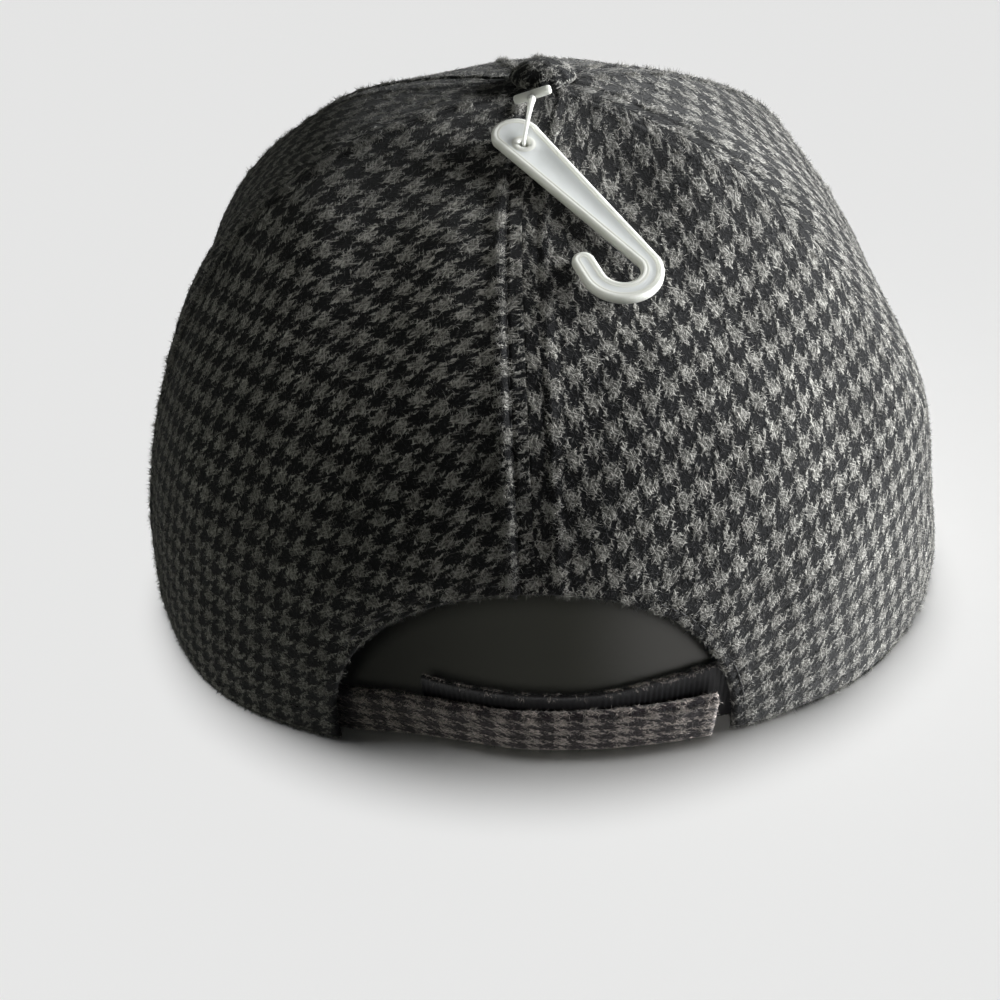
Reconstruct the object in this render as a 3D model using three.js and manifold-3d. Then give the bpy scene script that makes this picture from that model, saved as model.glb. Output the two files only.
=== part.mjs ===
// Six-panel cap in brushed houndstooth wool. It has a covered button, a curved peak, an arched opening
// at the back that a two-part strap closes, and a flat plastic hook pinned to the crown.
// Millimetres, +Z up. The peak points to -Y, the back to +Y, and the wearer's left is +X.
// A turn is an angle in degrees around the crown: 0 is the back, 90 the left and 180 the front.
import * as THREE from 'three';
import { mergeVertices } from 'three/addons/utils/BufferGeometryUtils.js';
import Module from 'manifold-3d';

const wasm = await Module();
wasm.setup();

// Cloth and clearance
const GAP = 0.3;
const WALL = 2.0;

// Crown
const CROWN_HEIGHT = 105;
const TOP_PEAKING = 1.6;
const TOP_SPREAD = 28.4;
const BUTTON_SIDEWAYS = -5.5;
const BUTTON_FORWARD = -0.7;
const BACK_LEAN = 7.2;
const PLAN_SQUARENESS = 2.515;
const SEAM_RIDGE = 0.05;
const SEAM_SOFTENING = 0.024;
const FLAT_RIM_TURN = 60;
const RAISED_RIM_TURN = 165;
const FRONT_RIM_RISE = 15;
const PANEL_ROWS = 17;
const PANEL_COLUMNS = 12;
const PANEL_TOP_CLIMB = 0.99;
const TOP_SHARE = 1 - 1e-12;

// The wall's outline in each direction: its widest radius, the level of that radius, which may lie below
// the rim, the radius at the rim, and how full the curve to the top is (2 is an ellipse).
const OUTLINE = {
  side: { widest: 93.6, level: -70.9, rim: 93.6, fullness: 2.83 },
  back: { widest: 95.3, level: 37.9, rim: 89.6, fullness: 1.9 },
  front: { widest: 93.5, level: 56.5, rim: 88.8, fullness: 1.73 },
};

// One row for each panel: the turns of its two seams.
const PANELS = [
  { name: 'crown_back_left', from: 0, to: 68, shade: 0x4a4a48 },
  { name: 'crown_side_left', from: 68, to: 120, shade: 0x4c4c4a },
  { name: 'crown_front_left', from: 120, to: 180, shade: 0x4a4a48 },
  { name: 'crown_front_right', from: -180, to: -120, shade: 0x4c4c4a },
  { name: 'crown_side_right', from: -120, to: -56, shade: 0x4a4a48 },
  { name: 'crown_back_right', from: -56, to: 0, shade: 0x4c4c4a },
];

// Opening at the back
const ARCH_CENTRE = 2.3;
const ARCH_HALF_WIDTH = 39.4;
const ARCH_HEIGHT = 45.8;
const ARCH_SQUARENESS = 2.25;
const ARCH_STEPS = 26;

// Straps. Each row gives how far the strap's outer face lies inside the crown's outer face at a turn,
// and how high its upper edge stands there.
const UPPER_STRAP = {
  thickness: 2.0,
  lowerEdge: 0.4,
  steps: 26,
  rows: [
    { turn: -20.5, inset: -0.8, upperEdge: 13.6 },
    { turn: -14, inset: -0.9, upperEdge: 13.9 },
    { turn: -6, inset: -0.9, upperEdge: 14.1 },
    { turn: 3, inset: 0.0, upperEdge: 14.1 },
    { turn: 11, inset: 2.6, upperEdge: 14.1 },
    { turn: 18, inset: 3.9, upperEdge: 14.4 },
    { turn: 25, inset: 3.2, upperEdge: 14.6 },
    { turn: 33, inset: 2.4, upperEdge: 14.8 },
  ],
};
const UNDER_STRAP = {
  thickness: 1.4,
  lowerEdge: 1.4,
  steps: 24,
  rows: [
    { turn: -33, inset: 2.5, upperEdge: 20.2 },
    { turn: -22, inset: 2.9, upperEdge: 20.0 },
    { turn: -15, inset: 2.4, upperEdge: 19.0 },
    { turn: -6, inset: 1.8, upperEdge: 17.2 },
    { turn: 3, inset: 2.9, upperEdge: 17.2 },
    { turn: 10, inset: 5.0, upperEdge: 17.6 },
    { turn: 15, inset: 6.7, upperEdge: 18.2 },
  ],
};

// Peak. Each row is a place around the front of the rim, in degrees from its middle: how far the peak
// reaches out there, and how high the underside of its edge stands.
const PEAK_THICKNESS = 3.5;
const PEAK_SPLAY = 0.35;
const PEAK_SAG = 1.25;
const PEAK_COLUMNS = 34;
const PEAK_ROWS = 7;
const PEAK_SECTIONS = [
  { around: 0, reach: 73, edge: 14 },
  { around: 15, reach: 70, edge: 12.5 },
  { around: 30, reach: 60, edge: 7.5 },
  { around: 42, reach: 43, edge: 2.2 },
  { around: 51, reach: 26, edge: 0 },
  { around: 58, reach: 12, edge: 2.8 },
  { around: 64, reach: 2.5, edge: 7.4 },
];

// Button
const BUTTON_RADIUS = 6.6;
const BUTTON_DOME = 3.3;
const BUTTON_RIM = 1.1;
const BUTTON_STEM_RADIUS = 1.0;
const BUTTON_WASHER_RADIUS = 4.5;
const BUTTON_WASHER_THICKNESS = 0.8;

// Hook. Along runs from the head down to the bend, across runs to the wearer's right, and both start
// at the hole. It rests flat on the crown at one point.
const HOOK = {
  thickness: 1.7,
  holeRadius: 0.95,
  head: { along: -2.8, across: -0.2, radius: 4.8 },
  bend: { along: 35.6, across: 3.1, inner: 3.4, outer: 7.5 },
  tipLength: 4.1,
  restsOn: { turn: -12.6, level: 97.4 },
  restAlong: 15.2,
  restAcross: 3.3,
  headingTurn: -22.9,
};

// Pin that fastens the hook: a short bar with a thread of plastic that runs through the hook's hole.
const PIN = {
  barLength: 7.4,
  barRadius: 0.9,
  barTilt: 14.8,
  barFromHole: { sideways: -2.0, forward: -8.5, up: 6.3 },
  threadRadiusAtBar: 0.85,
  threadRadiusAtHole: 0.42,
  bendAboveHook: 0.9,
  threadEnd: -1.0,
};

const radians = THREE.MathUtils.degToRad;
const degrees = THREE.MathUtils.radToDeg;

function climbAt(height) {
  return Math.asin(height / CROWN_HEIGHT) / (Math.PI / 2);
}

// Radius of one outline at a height above the rim.
function outlineRadius({ widest, level, rim, fullness }, height) {
  if (height < level) {
    return widest - (widest - rim) * ((level - height) / level) ** 2;
  }
  const share = Math.min((height - level) / (CROWN_HEIGHT - level), TOP_SHARE);
  return widest * (1 - share ** fullness) ** (1 / fullness);
}

// 1 on a seam and -1 in the middle of a panel.
function seamWave(turn) {
  const wrapped = THREE.MathUtils.euclideanModulo(turn + 180, 360) - 180;
  const panel = PANELS.find(({ from, to }) => wrapped >= from && wrapped <= to);
  return Math.cos((2 * Math.PI * (wrapped - panel.from)) / (panel.to - panel.from));
}

// Outer face of the crown. The climb runs from 0 at the rim to 1 under the button.
function crownPoint(turn, climb) {
  const height = CROWN_HEIGHT * Math.sin((climb * Math.PI) / 2);
  const sine = Math.sin(radians(turn));
  const cosine = Math.cos(radians(turn));
  const side = outlineRadius(OUTLINE.side, height);
  const end = outlineRadius(cosine > 0 ? OUTLINE.back : OUTLINE.front, height);
  const squared = Math.abs(sine / side) ** PLAN_SQUARENESS + Math.abs(cosine / end) ** PLAN_SQUARENESS;
  const ridge = (SEAM_RIDGE - SEAM_SOFTENING * Math.sin(Math.PI * climb)) * (height / CROWN_HEIGHT);
  const radius = squared ** (-1 / PLAN_SQUARENESS) * (1 + ridge * seamWave(turn));
  const nearTop = Math.exp(-((radius / TOP_SPREAD) ** 2));
  const front = THREE.MathUtils.smoothstep(Math.abs(turn), FLAT_RIM_TURN, RAISED_RIM_TURN);
  const z = height + FRONT_RIM_RISE * front * (1 - climb) ** 1.5 + TOP_PEAKING * nearTop;
  return new THREE.Vector3(
    radius * sine + BUTTON_SIDEWAYS * nearTop,
    radius * cosine + BUTTON_FORWARD * nearTop + (BACK_LEAN * z) / CROWN_HEIGHT,
    z,
  );
}

function crownNormal(turn, climb) {
  const step = 0.002;
  const up = crownPoint(turn, Math.min(climb + step, 1 - step)).sub(crownPoint(turn, climb - step));
  const round = crownPoint(turn + 1, climb).sub(crownPoint(turn - 1, climb));
  return up.cross(round).normalize();
}

// Direction straight out of the crown on the level.
function levelNormal(turn, climb) {
  return crownNormal(turn, climb).setZ(0).normalize();
}

function signedVolume(positions, index) {
  const [a, b, c] = [new THREE.Vector3(), new THREE.Vector3(), new THREE.Vector3()];
  let total = 0;
  for (let i = 0; i < index.length; i += 3) {
    a.fromArray(positions, 3 * index[i]);
    b.fromArray(positions, 3 * index[i + 1]);
    c.fromArray(positions, 3 * index[i + 2]);
    total += a.dot(b.cross(c)) / 6;
  }
  return total;
}

function closedGeometry(positions, index) {
  if (signedVolume(positions, index) < 0) {
    index.reverse();
  }
  const geometry = new THREE.BufferGeometry();
  geometry.setAttribute('position', new THREE.Float32BufferAttribute(positions, 3));
  geometry.setIndex(index);
  geometry.computeVertexNormals();
  return geometry;
}

// A closed sheet between two grids of points, given as rows, with walls round the four edges.
function sheet(outer, inner) {
  const rows = outer.length;
  const columns = outer[0].length;
  const positions = [...outer, ...inner].flat().flatMap((point) => point.toArray());
  const at = (face, row, column) => face * rows * columns + row * columns + column;
  const index = [];
  const quad = (a, b, c, d) => index.push(a, b, c, a, c, d);
  for (let row = 0; row < rows - 1; row++) {
    for (let column = 0; column < columns - 1; column++) {
      quad(at(0, row, column), at(0, row, column + 1), at(0, row + 1, column + 1), at(0, row + 1, column));
      quad(at(1, row, column), at(1, row + 1, column), at(1, row + 1, column + 1), at(1, row, column + 1));
    }
  }
  for (let column = 0; column < columns - 1; column++) {
    const last = rows - 1;
    quad(at(0, 0, column), at(1, 0, column), at(1, 0, column + 1), at(0, 0, column + 1));
    quad(at(0, last, column), at(0, last, column + 1), at(1, last, column + 1), at(1, last, column));
  }
  for (let row = 0; row < rows - 1; row++) {
    const last = columns - 1;
    quad(at(0, row, 0), at(0, row + 1, 0), at(1, row + 1, 0), at(1, row, 0));
    quad(at(0, row, last), at(1, row, last), at(1, row + 1, last), at(0, row + 1, last));
  }
  return closedGeometry(positions, index);
}

function toSolid(geometry) {
  const bare = geometry.clone();
  bare.deleteAttribute('normal');
  bare.deleteAttribute('uv');
  const merged = mergeVertices(bare, 1e-4);
  return new wasm.Manifold(
    new wasm.Mesh({
      numProp: 3,
      vertProperties: new Float32Array(merged.attributes.position.array),
      triVerts: new Uint32Array(merged.index.array),
    }),
  );
}

function fromSolid(solid) {
  const { vertProperties, triVerts } = solid.getMesh();
  const geometry = new THREE.BufferGeometry();
  geometry.setAttribute('position', new THREE.BufferAttribute(vertProperties, 3));
  geometry.setIndex(new THREE.BufferAttribute(triVerts, 1));
  geometry.computeVertexNormals();
  return geometry;
}

// Half the seam's gap, as an angle at this place on the crown.
function seamGapTurn(turn, climb) {
  const point = crownPoint(turn, climb);
  const top = crownPoint(turn, 1);
  const reach = Math.hypot(point.x - top.x * climb, point.y - top.y * climb);
  return degrees(GAP / 2 / reach);
}

function panelGeometry({ from, to }) {
  const outer = [];
  const inner = [];
  for (let row = 0; row < PANEL_ROWS; row++) {
    const climb = (PANEL_TOP_CLIMB * row) / (PANEL_ROWS - 1);
    const start = from + seamGapTurn(from, climb);
    const end = to - seamGapTurn(to, climb);
    const outerRow = [];
    const innerRow = [];
    for (let column = 0; column <= PANEL_COLUMNS; column++) {
      const turn = start + ((end - start) * column) / PANEL_COLUMNS;
      const point = crownPoint(turn, climb);
      const inward = row === 0 ? levelNormal(turn, 0.01) : crownNormal(turn, climb);
      outerRow.push(point);
      innerRow.push(point.clone().addScaledVector(inward, -WALL));
    }
    outer.push(outerRow);
    inner.push(innerRow);
  }
  return sheet(outer, inner);
}

// The arch as a bar that runs through the back of the crown.
function archBar() {
  const below = 5;
  const nearSide = 120;
  const depth = 70;
  const shape = new THREE.Shape();
  shape.moveTo(ARCH_CENTRE + ARCH_HALF_WIDTH, -below);
  for (let step = 0; step <= ARCH_STEPS; step++) {
    const angle = (Math.PI * step) / ARCH_STEPS;
    const across = Math.sign(Math.cos(angle)) * Math.abs(Math.cos(angle)) ** (2 / ARCH_SQUARENESS);
    const up = Math.abs(Math.sin(angle)) ** (2 / ARCH_SQUARENESS);
    shape.lineTo(ARCH_CENTRE + ARCH_HALF_WIDTH * across, ARCH_HEIGHT * up);
  }
  shape.lineTo(ARCH_CENTRE - ARCH_HALF_WIDTH, -below);
  const geometry = new THREE.ExtrudeGeometry(shape, { depth, bevelEnabled: false });
  geometry.rotateX(Math.PI / 2);
  geometry.translate(0, nearSide, 0);
  return geometry;
}

// A strap along the rim, from the short table of its rows.
function strapGeometry({ thickness, lowerEdge, steps, rows }) {
  const guide = new THREE.CatmullRomCurve3(
    rows.map(({ turn, inset, upperEdge }) => new THREE.Vector3(turn, inset, upperEdge)),
  );
  const levels = 4;
  const outer = [];
  const inner = [];
  for (let level = 0; level <= levels; level++) {
    const outerRow = [];
    const innerRow = [];
    for (let step = 0; step <= steps; step++) {
      const { x: turn, y: inset, z: upperEdge } = guide.getPoint(step / steps);
      const height = THREE.MathUtils.lerp(lowerEdge, upperEdge, level / levels);
      const climb = climbAt(height);
      const out = levelNormal(turn, climb);
      const point = crownPoint(turn, climb);
      outerRow.push(point.clone().addScaledVector(out, -inset));
      innerRow.push(point.clone().addScaledVector(out, -inset - thickness));
    }
    outer.push(outerRow);
    inner.push(innerRow);
  }
  return sheet(outer, inner);
}

// The peak is a board that runs out from the front of the rim, lowest at its two sides.
function peakGeometry() {
  const guide = new THREE.CatmullRomCurve3(
    PEAK_SECTIONS.map(({ around, reach, edge }) => new THREE.Vector3(around, reach, edge)),
  );
  const faces = [PEAK_THICKNESS, 0].map((lift) => {
    const grid = [];
    for (let row = 0; row < PEAK_ROWS; row++) {
      const out = row / (PEAK_ROWS - 1);
      const line = [];
      for (let column = -PEAK_COLUMNS / 2; column <= PEAK_COLUMNS / 2; column++) {
        const section = guide.getPoint((2 * Math.abs(column)) / PEAK_COLUMNS);
        const around = Math.sign(column) * section.x;
        const turn = 180 - around;
        const root = crownPoint(turn, climbAt(lift));
        root.addScaledVector(levelNormal(turn, climbAt(lift + 1)), GAP);
        const heading = radians(around * PEAK_SPLAY);
        const edge = Math.max(section.z, 0) + lift;
        line.push(
          new THREE.Vector3(
            root.x + section.y * out * Math.sin(heading),
            root.y - section.y * out * Math.cos(heading),
            THREE.MathUtils.lerp(root.z, edge, out ** PEAK_SAG),
          ),
        );
      }
      grid.push(line);
    }
    return grid;
  });
  return sheet(faces[0], faces[1]);
}

// A covered dome above the crown, with a stem through the hole where the panels meet and a washer inside.
function buttonGeometry() {
  const underside = GAP;
  const inside = -(WALL + TOP_PEAKING / 4 + GAP);
  const profile = [
    new THREE.Vector2(0, inside - BUTTON_WASHER_THICKNESS),
    new THREE.Vector2(BUTTON_WASHER_RADIUS, inside - BUTTON_WASHER_THICKNESS),
    new THREE.Vector2(BUTTON_WASHER_RADIUS, inside),
    new THREE.Vector2(BUTTON_STEM_RADIUS, inside),
    new THREE.Vector2(BUTTON_STEM_RADIUS, underside),
    new THREE.Vector2(BUTTON_RADIUS - BUTTON_RIM / 2, underside),
  ];
  const domeSteps = 7;
  for (let step = 0; step <= domeSteps; step++) {
    const angle = (Math.PI / 2) * (step / domeSteps);
    const radius = step === domeSteps ? 0 : BUTTON_RADIUS * Math.cos(angle);
    profile.push(new THREE.Vector2(radius, underside + BUTTON_RIM + BUTTON_DOME * Math.sin(angle)));
  }
  return new THREE.LatheGeometry(profile, 24).rotateX(Math.PI / 2);
}

function hookGeometry() {
  const { head, bend, tipLength, holeRadius, thickness } = HOOK;
  const tipRadius = (bend.outer - bend.inner) / 2;
  const tipAcross = bend.across - bend.inner - tipRadius;
  const quarter = Math.PI / 2;
  const shape = new THREE.Shape();
  shape.absarc(head.along, head.across, head.radius, quarter, 3 * quarter, false);
  shape.absarc(bend.along, bend.across, bend.inner, quarter, -quarter, true);
  shape.absarc(bend.along - tipLength, tipAcross, tipRadius, quarter, 3 * quarter, false);
  shape.absarc(bend.along, bend.across, bend.outer, -quarter, quarter, false);
  const hole = new THREE.Path();
  hole.absarc(0, 0, holeRadius, 0, 4 * quarter, true);
  shape.holes.push(hole);
  return new THREE.ExtrudeGeometry(shape, { depth: thickness, bevelEnabled: false, curveSegments: 12 });
}

// The hook's own frame: x along it, y across it, z out of the cloth, with its origin in the hole.
function hookFrame() {
  const climb = climbAt(HOOK.restsOn.level);
  const normal = crownNormal(HOOK.restsOn.turn, climb);
  const heading = radians(HOOK.headingTurn);
  const along = new THREE.Vector3(Math.sin(heading), Math.cos(heading), 0);
  along.addScaledVector(normal, -along.dot(normal)).normalize();
  const across = normal.clone().cross(along);
  const origin = crownPoint(HOOK.restsOn.turn, climb)
    .addScaledVector(normal, GAP)
    .addScaledVector(along, -HOOK.restAlong)
    .addScaledVector(across, -HOOK.restAcross);
  return new THREE.Matrix4().makeBasis(along, across, normal).setPosition(origin);
}

// A round thread whose radius changes from point to point.
function threadGeometry(stations, sides) {
  const last = stations.length - 1;
  const sideways = new THREE.Vector3(1, 0, 0);
  const positions = [];
  const index = [];
  stations.forEach(({ point, radius }, station) => {
    const before = stations[Math.max(station - 1, 0)].point;
    const after = stations[Math.min(station + 1, last)].point;
    const tangent = after.clone().sub(before).normalize();
    const normal = sideways.clone().cross(tangent).normalize();
    const binormal = tangent.clone().cross(normal);
    for (let side = 0; side < sides; side++) {
      const angle = (2 * Math.PI * side) / sides;
      const place = point
        .clone()
        .addScaledVector(normal, radius * Math.cos(angle))
        .addScaledVector(binormal, radius * Math.sin(angle));
      positions.push(...place.toArray());
    }
  });
  for (let station = 0; station < last; station++) {
    for (let side = 0; side < sides; side++) {
      const next = (side + 1) % sides;
      const [a, b] = [station * sides + side, station * sides + next];
      index.push(a, b, b + sides, a, b + sides, a + sides);
    }
  }
  for (const [station, flip] of [[0, true], [last, false]]) {
    const centre = positions.length / 3;
    positions.push(...stations[station].point.toArray());
    for (let side = 0; side < sides; side++) {
      const [a, b] = [station * sides + side, station * sides + ((side + 1) % sides)];
      index.push(...(flip ? [centre, b, a] : [centre, a, b]));
    }
  }
  return closedGeometry(positions, index);
}

// Bar and thread in one piece. The thread leans from the bar to the hole and runs through it to the cloth.
function pinGeometry(hookPlace) {
  const inHole = (height) => new THREE.Vector3(0, 0, height).applyMatrix4(hookPlace);
  const mouth = inHole(HOOK.thickness);
  const { sideways, forward, up } = PIN.barFromHole;
  const bar = mouth.clone().add(new THREE.Vector3(sideways, forward, up));
  const turnIn = inHole(HOOK.thickness + PIN.bendAboveHook);
  const stations = [0, 0.35, 0.7, 0.93].map((share) => ({
    point: bar.clone().lerp(turnIn, share),
    radius: THREE.MathUtils.lerp(PIN.threadRadiusAtBar, PIN.threadRadiusAtHole, share),
  }));
  for (const height of [HOOK.thickness + PIN.bendAboveHook / 2, HOOK.thickness / 2, 0, PIN.threadEnd]) {
    stations.push({ point: inHole(height), radius: PIN.threadRadiusAtHole });
  }
  const rod = new THREE.CylinderGeometry(PIN.barRadius, PIN.barRadius, PIN.barLength, 12);
  rod.rotateZ(Math.PI / 2);
  rod.rotateY(radians(PIN.barTilt));
  rod.translate(bar.x, bar.y, bar.z);
  return fromSolid(toSolid(rod).add(toSolid(threadGeometry(stations, 10))));
}

function cloth(color) {
  return new THREE.MeshStandardMaterial({ color, roughness: 0.95, metalness: 0 });
}

function plastic(color) {
  return new THREE.MeshStandardMaterial({ color, roughness: 0.35, metalness: 0 });
}

function piece(name, geometry, material) {
  const mesh = new THREE.Mesh(geometry, material);
  mesh.name = name;
  return mesh;
}

const cap = new THREE.Group();

const arch = toSolid(archBar());
for (const panel of PANELS) {
  let geometry = panelGeometry(panel);
  if (panel.from === 0 || panel.to === 0) {
    geometry = fromSolid(toSolid(geometry).subtract(arch));
  }
  cap.add(piece(panel.name, geometry, cloth(panel.shade)));
}

const button = piece('top_button', buttonGeometry(), cloth(0x3c3c3a));
button.position.copy(crownPoint(0, 1));
cap.add(button);

cap.add(piece('peak', peakGeometry(), cloth(0x444442)));
cap.add(piece('upper_strap', strapGeometry(UPPER_STRAP), cloth(0x4d4746)));
cap.add(piece('under_strap', strapGeometry(UNDER_STRAP), cloth(0x1a1a1c)));

const hookPlace = hookFrame();
const hookGroup = new THREE.Group();
hookGroup.applyMatrix4(hookPlace);
hookGroup.add(piece('display_hook', hookGeometry(), plastic(0xd8dcdc)));
cap.add(hookGroup);
cap.add(piece('hook_pin', pinGeometry(hookPlace), plastic(0xe6e8e8)));

// The cap's origin is the middle of its length and width, on the surface that it rests on.
const reach = new THREE.Box3().setFromObject(cap);
const middle = reach.getCenter(new THREE.Vector3());
cap.position.set(-middle.x, -middle.y, -reach.min.z);

export default cap;
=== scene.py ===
import math

import bmesh
import bpy
import numpy as np
from mathutils import Matrix, Vector


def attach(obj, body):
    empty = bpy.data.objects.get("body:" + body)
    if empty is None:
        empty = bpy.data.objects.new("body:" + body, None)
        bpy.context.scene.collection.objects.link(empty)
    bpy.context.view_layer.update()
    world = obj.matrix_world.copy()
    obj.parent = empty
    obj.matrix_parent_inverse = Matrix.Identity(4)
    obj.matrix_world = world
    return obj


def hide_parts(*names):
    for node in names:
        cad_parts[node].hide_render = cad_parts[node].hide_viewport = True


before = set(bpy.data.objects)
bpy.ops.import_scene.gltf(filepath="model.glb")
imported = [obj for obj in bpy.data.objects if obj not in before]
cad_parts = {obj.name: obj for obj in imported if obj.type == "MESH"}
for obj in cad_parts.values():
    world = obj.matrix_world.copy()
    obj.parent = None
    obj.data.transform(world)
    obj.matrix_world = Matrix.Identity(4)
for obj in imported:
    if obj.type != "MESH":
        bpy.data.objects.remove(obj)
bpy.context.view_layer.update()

# The camera looks down on the back of the cap from about 30 cm behind it, with its top tilted a few
# degrees. Everything here is in metres, in the frame of the part's solids.
MM = 0.001
CAMERA_PLACE = Vector((-4.15, 319.08, 192.54)) * MM
CAMERA_HEADING = Vector((0.04059, -0.83049, -0.55556)).normalized()
CAMERA_TILT = math.radians(-4.176)
CAMERA_LENS = 49.46
CAMERA_SENSOR = 36.0
CAMERA_NEAREST = 10 * MM

level_right = CAMERA_HEADING.cross(Vector((0, 0, 1))).normalized()
level_up = level_right.cross(CAMERA_HEADING)
camera_right = level_right * math.cos(CAMERA_TILT) + level_up * math.sin(CAMERA_TILT)
camera_up = level_up * math.cos(CAMERA_TILT) - level_right * math.sin(CAMERA_TILT)
camera = bpy.data.objects.new("camera", bpy.data.cameras.new("camera"))
camera.data.lens = CAMERA_LENS
camera.data.sensor_width = CAMERA_SENSOR
camera.data.clip_start = CAMERA_NEAREST
facing = Matrix((camera_right, camera_up, -CAMERA_HEADING)).transposed().to_4x4()
camera.matrix_world = Matrix.Translation(CAMERA_PLACE) @ facing
bpy.context.scene.collection.objects.link(camera)
bpy.context.scene.camera = camera
bpy.context.scene.view_settings.view_transform = "Standard"


# The studio is a pale floor inside a pale dome, with a soft light overhead that falls on the floor alone.
# The cap has a large soft light and a low one at the wearer's right, a weak one at the left, and small
# spots on its back. The spots named inside are for the floor that the opening shows. Turns are in degrees,
# from 0 behind the cap through 90 at the wearer's left.
FLOOR_REACH = 3.2
FLOOR_COLOUR = (0.9, 0.9, 0.895)
FLOOR_ROUGHNESS = 0.85
FLOOR_LIGHT_STRENGTH = 2.76
FLOOR_LIGHT_WIDTH = 32
DOME_RADIUS = 3.0
DOME_SEGMENTS = (96, 48)
DOME_GLOW = (0.79, 0.79, 0.786)
SKY_COLOUR = (0.86, 0.93, 1.0)
SKY_STRENGTH = 0.015
LIGHT_TARGET = Vector((0, 0, 50)) * MM
LIGHTS = [
    {"name": "side_light", "turn": 268, "above": 14, "away": 1.1, "wide": 0.45, "tall": 0.62,
     "power": 32.0, "colour": (0.985, 1.0, 1.0)},
    {"name": "low_light", "turn": 272, "above": 3, "away": 1.1, "wide": 0.5, "tall": 0.12,
     "power": 12.5, "colour": (0.985, 1.0, 1.0)},
    {"name": "far_side_light", "turn": 60, "above": 8, "away": 1.1, "wide": 0.9, "tall": 0.5,
     "power": 2.3, "colour": (0.97, 1.0, 0.88)},
]
SPOT_SOFTNESS = 0.9
SPOTS = [
    {"name": "strap_light", "place": (0.10, 0.66, 0.28), "target": (-0.012, 0.12, 0.011), "cone": 8,
     "radius": 0.02, "power": 5.0, "colour": (1.0, 0.98, 0.96)},
    {"name": "crown_light", "place": (0.12, 0.60, 0.75), "target": (0.015, 0.092, 0.091), "cone": 6,
     "radius": 0.02, "power": 5.2, "colour": (1.0, 0.99, 0.94)},
    {"name": "panel_light", "place": (-0.50, 0.46, 0.36), "target": (-0.032, 0.105, 0.078), "cone": 4,
     "radius": 0.02, "power": 7.5, "colour": (1.0, 1.0, 1.0)},
    {"name": "corner_light", "place": (-0.55, 0.62, 0.10), "target": (-0.049, 0.117, 0.024), "cone": 5,
     "radius": 0.02, "power": 7.5, "colour": (1.0, 1.0, 1.0)},
    {"name": "inside_light", "place": (-0.005, 0.57, 0.39), "target": (-0.02, 0.06, 0.0), "cone": 13,
     "radius": 0.03, "power": 0.6, "colour": (1.0, 1.0, 0.84)},
    {"name": "inside_right_light", "place": (-0.005, 0.57, 0.39), "target": (-0.036, 0.088, 0.0), "cone": 5,
     "radius": 0.01, "power": 1.1, "colour": (1.0, 0.97, 0.97)},
]


class Shade:
    """A value, colour or vector in a material's nodes. Sums on it add the nodes that work them out."""

    def __init__(self, tree, socket=None):
        self.tree = tree
        self.socket = socket

    def node(self, kind, settings, sockets, output=0):
        made = self.tree.nodes.new(kind)
        for name, value in settings.items():
            setattr(made, name, value)
        for key, value in sockets.items():
            self.feed(made, key, value)
        return Shade(self.tree, made.outputs[output])

    def feed(self, made, key, value):
        if isinstance(value, Shade):
            self.tree.links.new(value.socket, made.inputs[key])
        else:
            made.inputs[key].default_value = value

    def math(self, operation, first, second=0.0, clamp=False):
        settings = {"operation": operation, "use_clamp": clamp}
        return self.node("ShaderNodeMath", settings, {0: first, 1: second})

    def __add__(self, other):
        return self.math("ADD", self, other)

    def __radd__(self, other):
        return self.math("ADD", other, self)

    def __sub__(self, other):
        return self.math("SUBTRACT", self, other)

    def __rsub__(self, other):
        return self.math("SUBTRACT", other, self)

    def __mul__(self, other):
        return self.math("MULTIPLY", self, other)

    def __rmul__(self, other):
        return self.math("MULTIPLY", other, self)

    def clamped(self):
        return self.math("ADD", self, 0.0, clamp=True)

    def sine(self):
        return self.math("SINE", self)

    def larger(self, other):
        return self.math("MAXIMUM", self, other)

    def between(self, low, high):
        """0 at low, 1 at high, and a smooth rise between them."""
        sockets = {0: self, 1: low, 2: high, 3: 0.0, 4: 1.0}
        return self.node("ShaderNodeMapRange", {"interpolation_type": "SMOOTHSTEP"}, sockets)

    def blend(self, low, high):
        """The colour low where this is 0 and high where it is 1."""
        return self.node("ShaderNodeMix", {"data_type": "RGBA"}, {0: self, 6: low, 7: high}, output=2)

    def part(self, index):
        return self.node("ShaderNodeSeparateXYZ", {}, {0: self}, output=index)

    def noise(self, scale, detail=1.0, output=0):
        sockets = {"Vector": self, "Scale": scale, "Detail": detail}
        return self.node("ShaderNodeTexNoise", {}, sockets, output)


def new_material(name, roughness, **constants):
    """A material, its surface shader and a start for its maths. Constants are named as their sockets are,
    with an underscore for each space."""
    material = bpy.data.materials.new(name)
    material.use_nodes = True
    surface = material.node_tree.nodes["Principled BSDF"]
    surface.inputs["Roughness"].default_value = roughness
    for socket, value in constants.items():
        surface.inputs[socket.replace("_", " ")].default_value = value
    return material, surface, Shade(material.node_tree)


def rgba(colour):
    return (*colour, 1.0)


def link_object(name, data):
    made = bpy.data.objects.new(name, data)
    bpy.context.scene.collection.objects.link(made)
    return made


floor_mesh = bpy.data.meshes.new("floor")
corners = [(-FLOOR_REACH, -FLOOR_REACH, 0), (FLOOR_REACH, -FLOOR_REACH, 0),
           (FLOOR_REACH, FLOOR_REACH, 0), (-FLOOR_REACH, FLOOR_REACH, 0)]
floor_mesh.from_pydata(corners, [], [(0, 1, 2, 3)])
floor = link_object("floor", floor_mesh)
floor_material, _, _ = new_material("floor", FLOOR_ROUGHNESS, Base_Color=rgba(FLOOR_COLOUR))
floor_mesh.materials.append(floor_material)
floor.visible_diffuse = False

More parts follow.
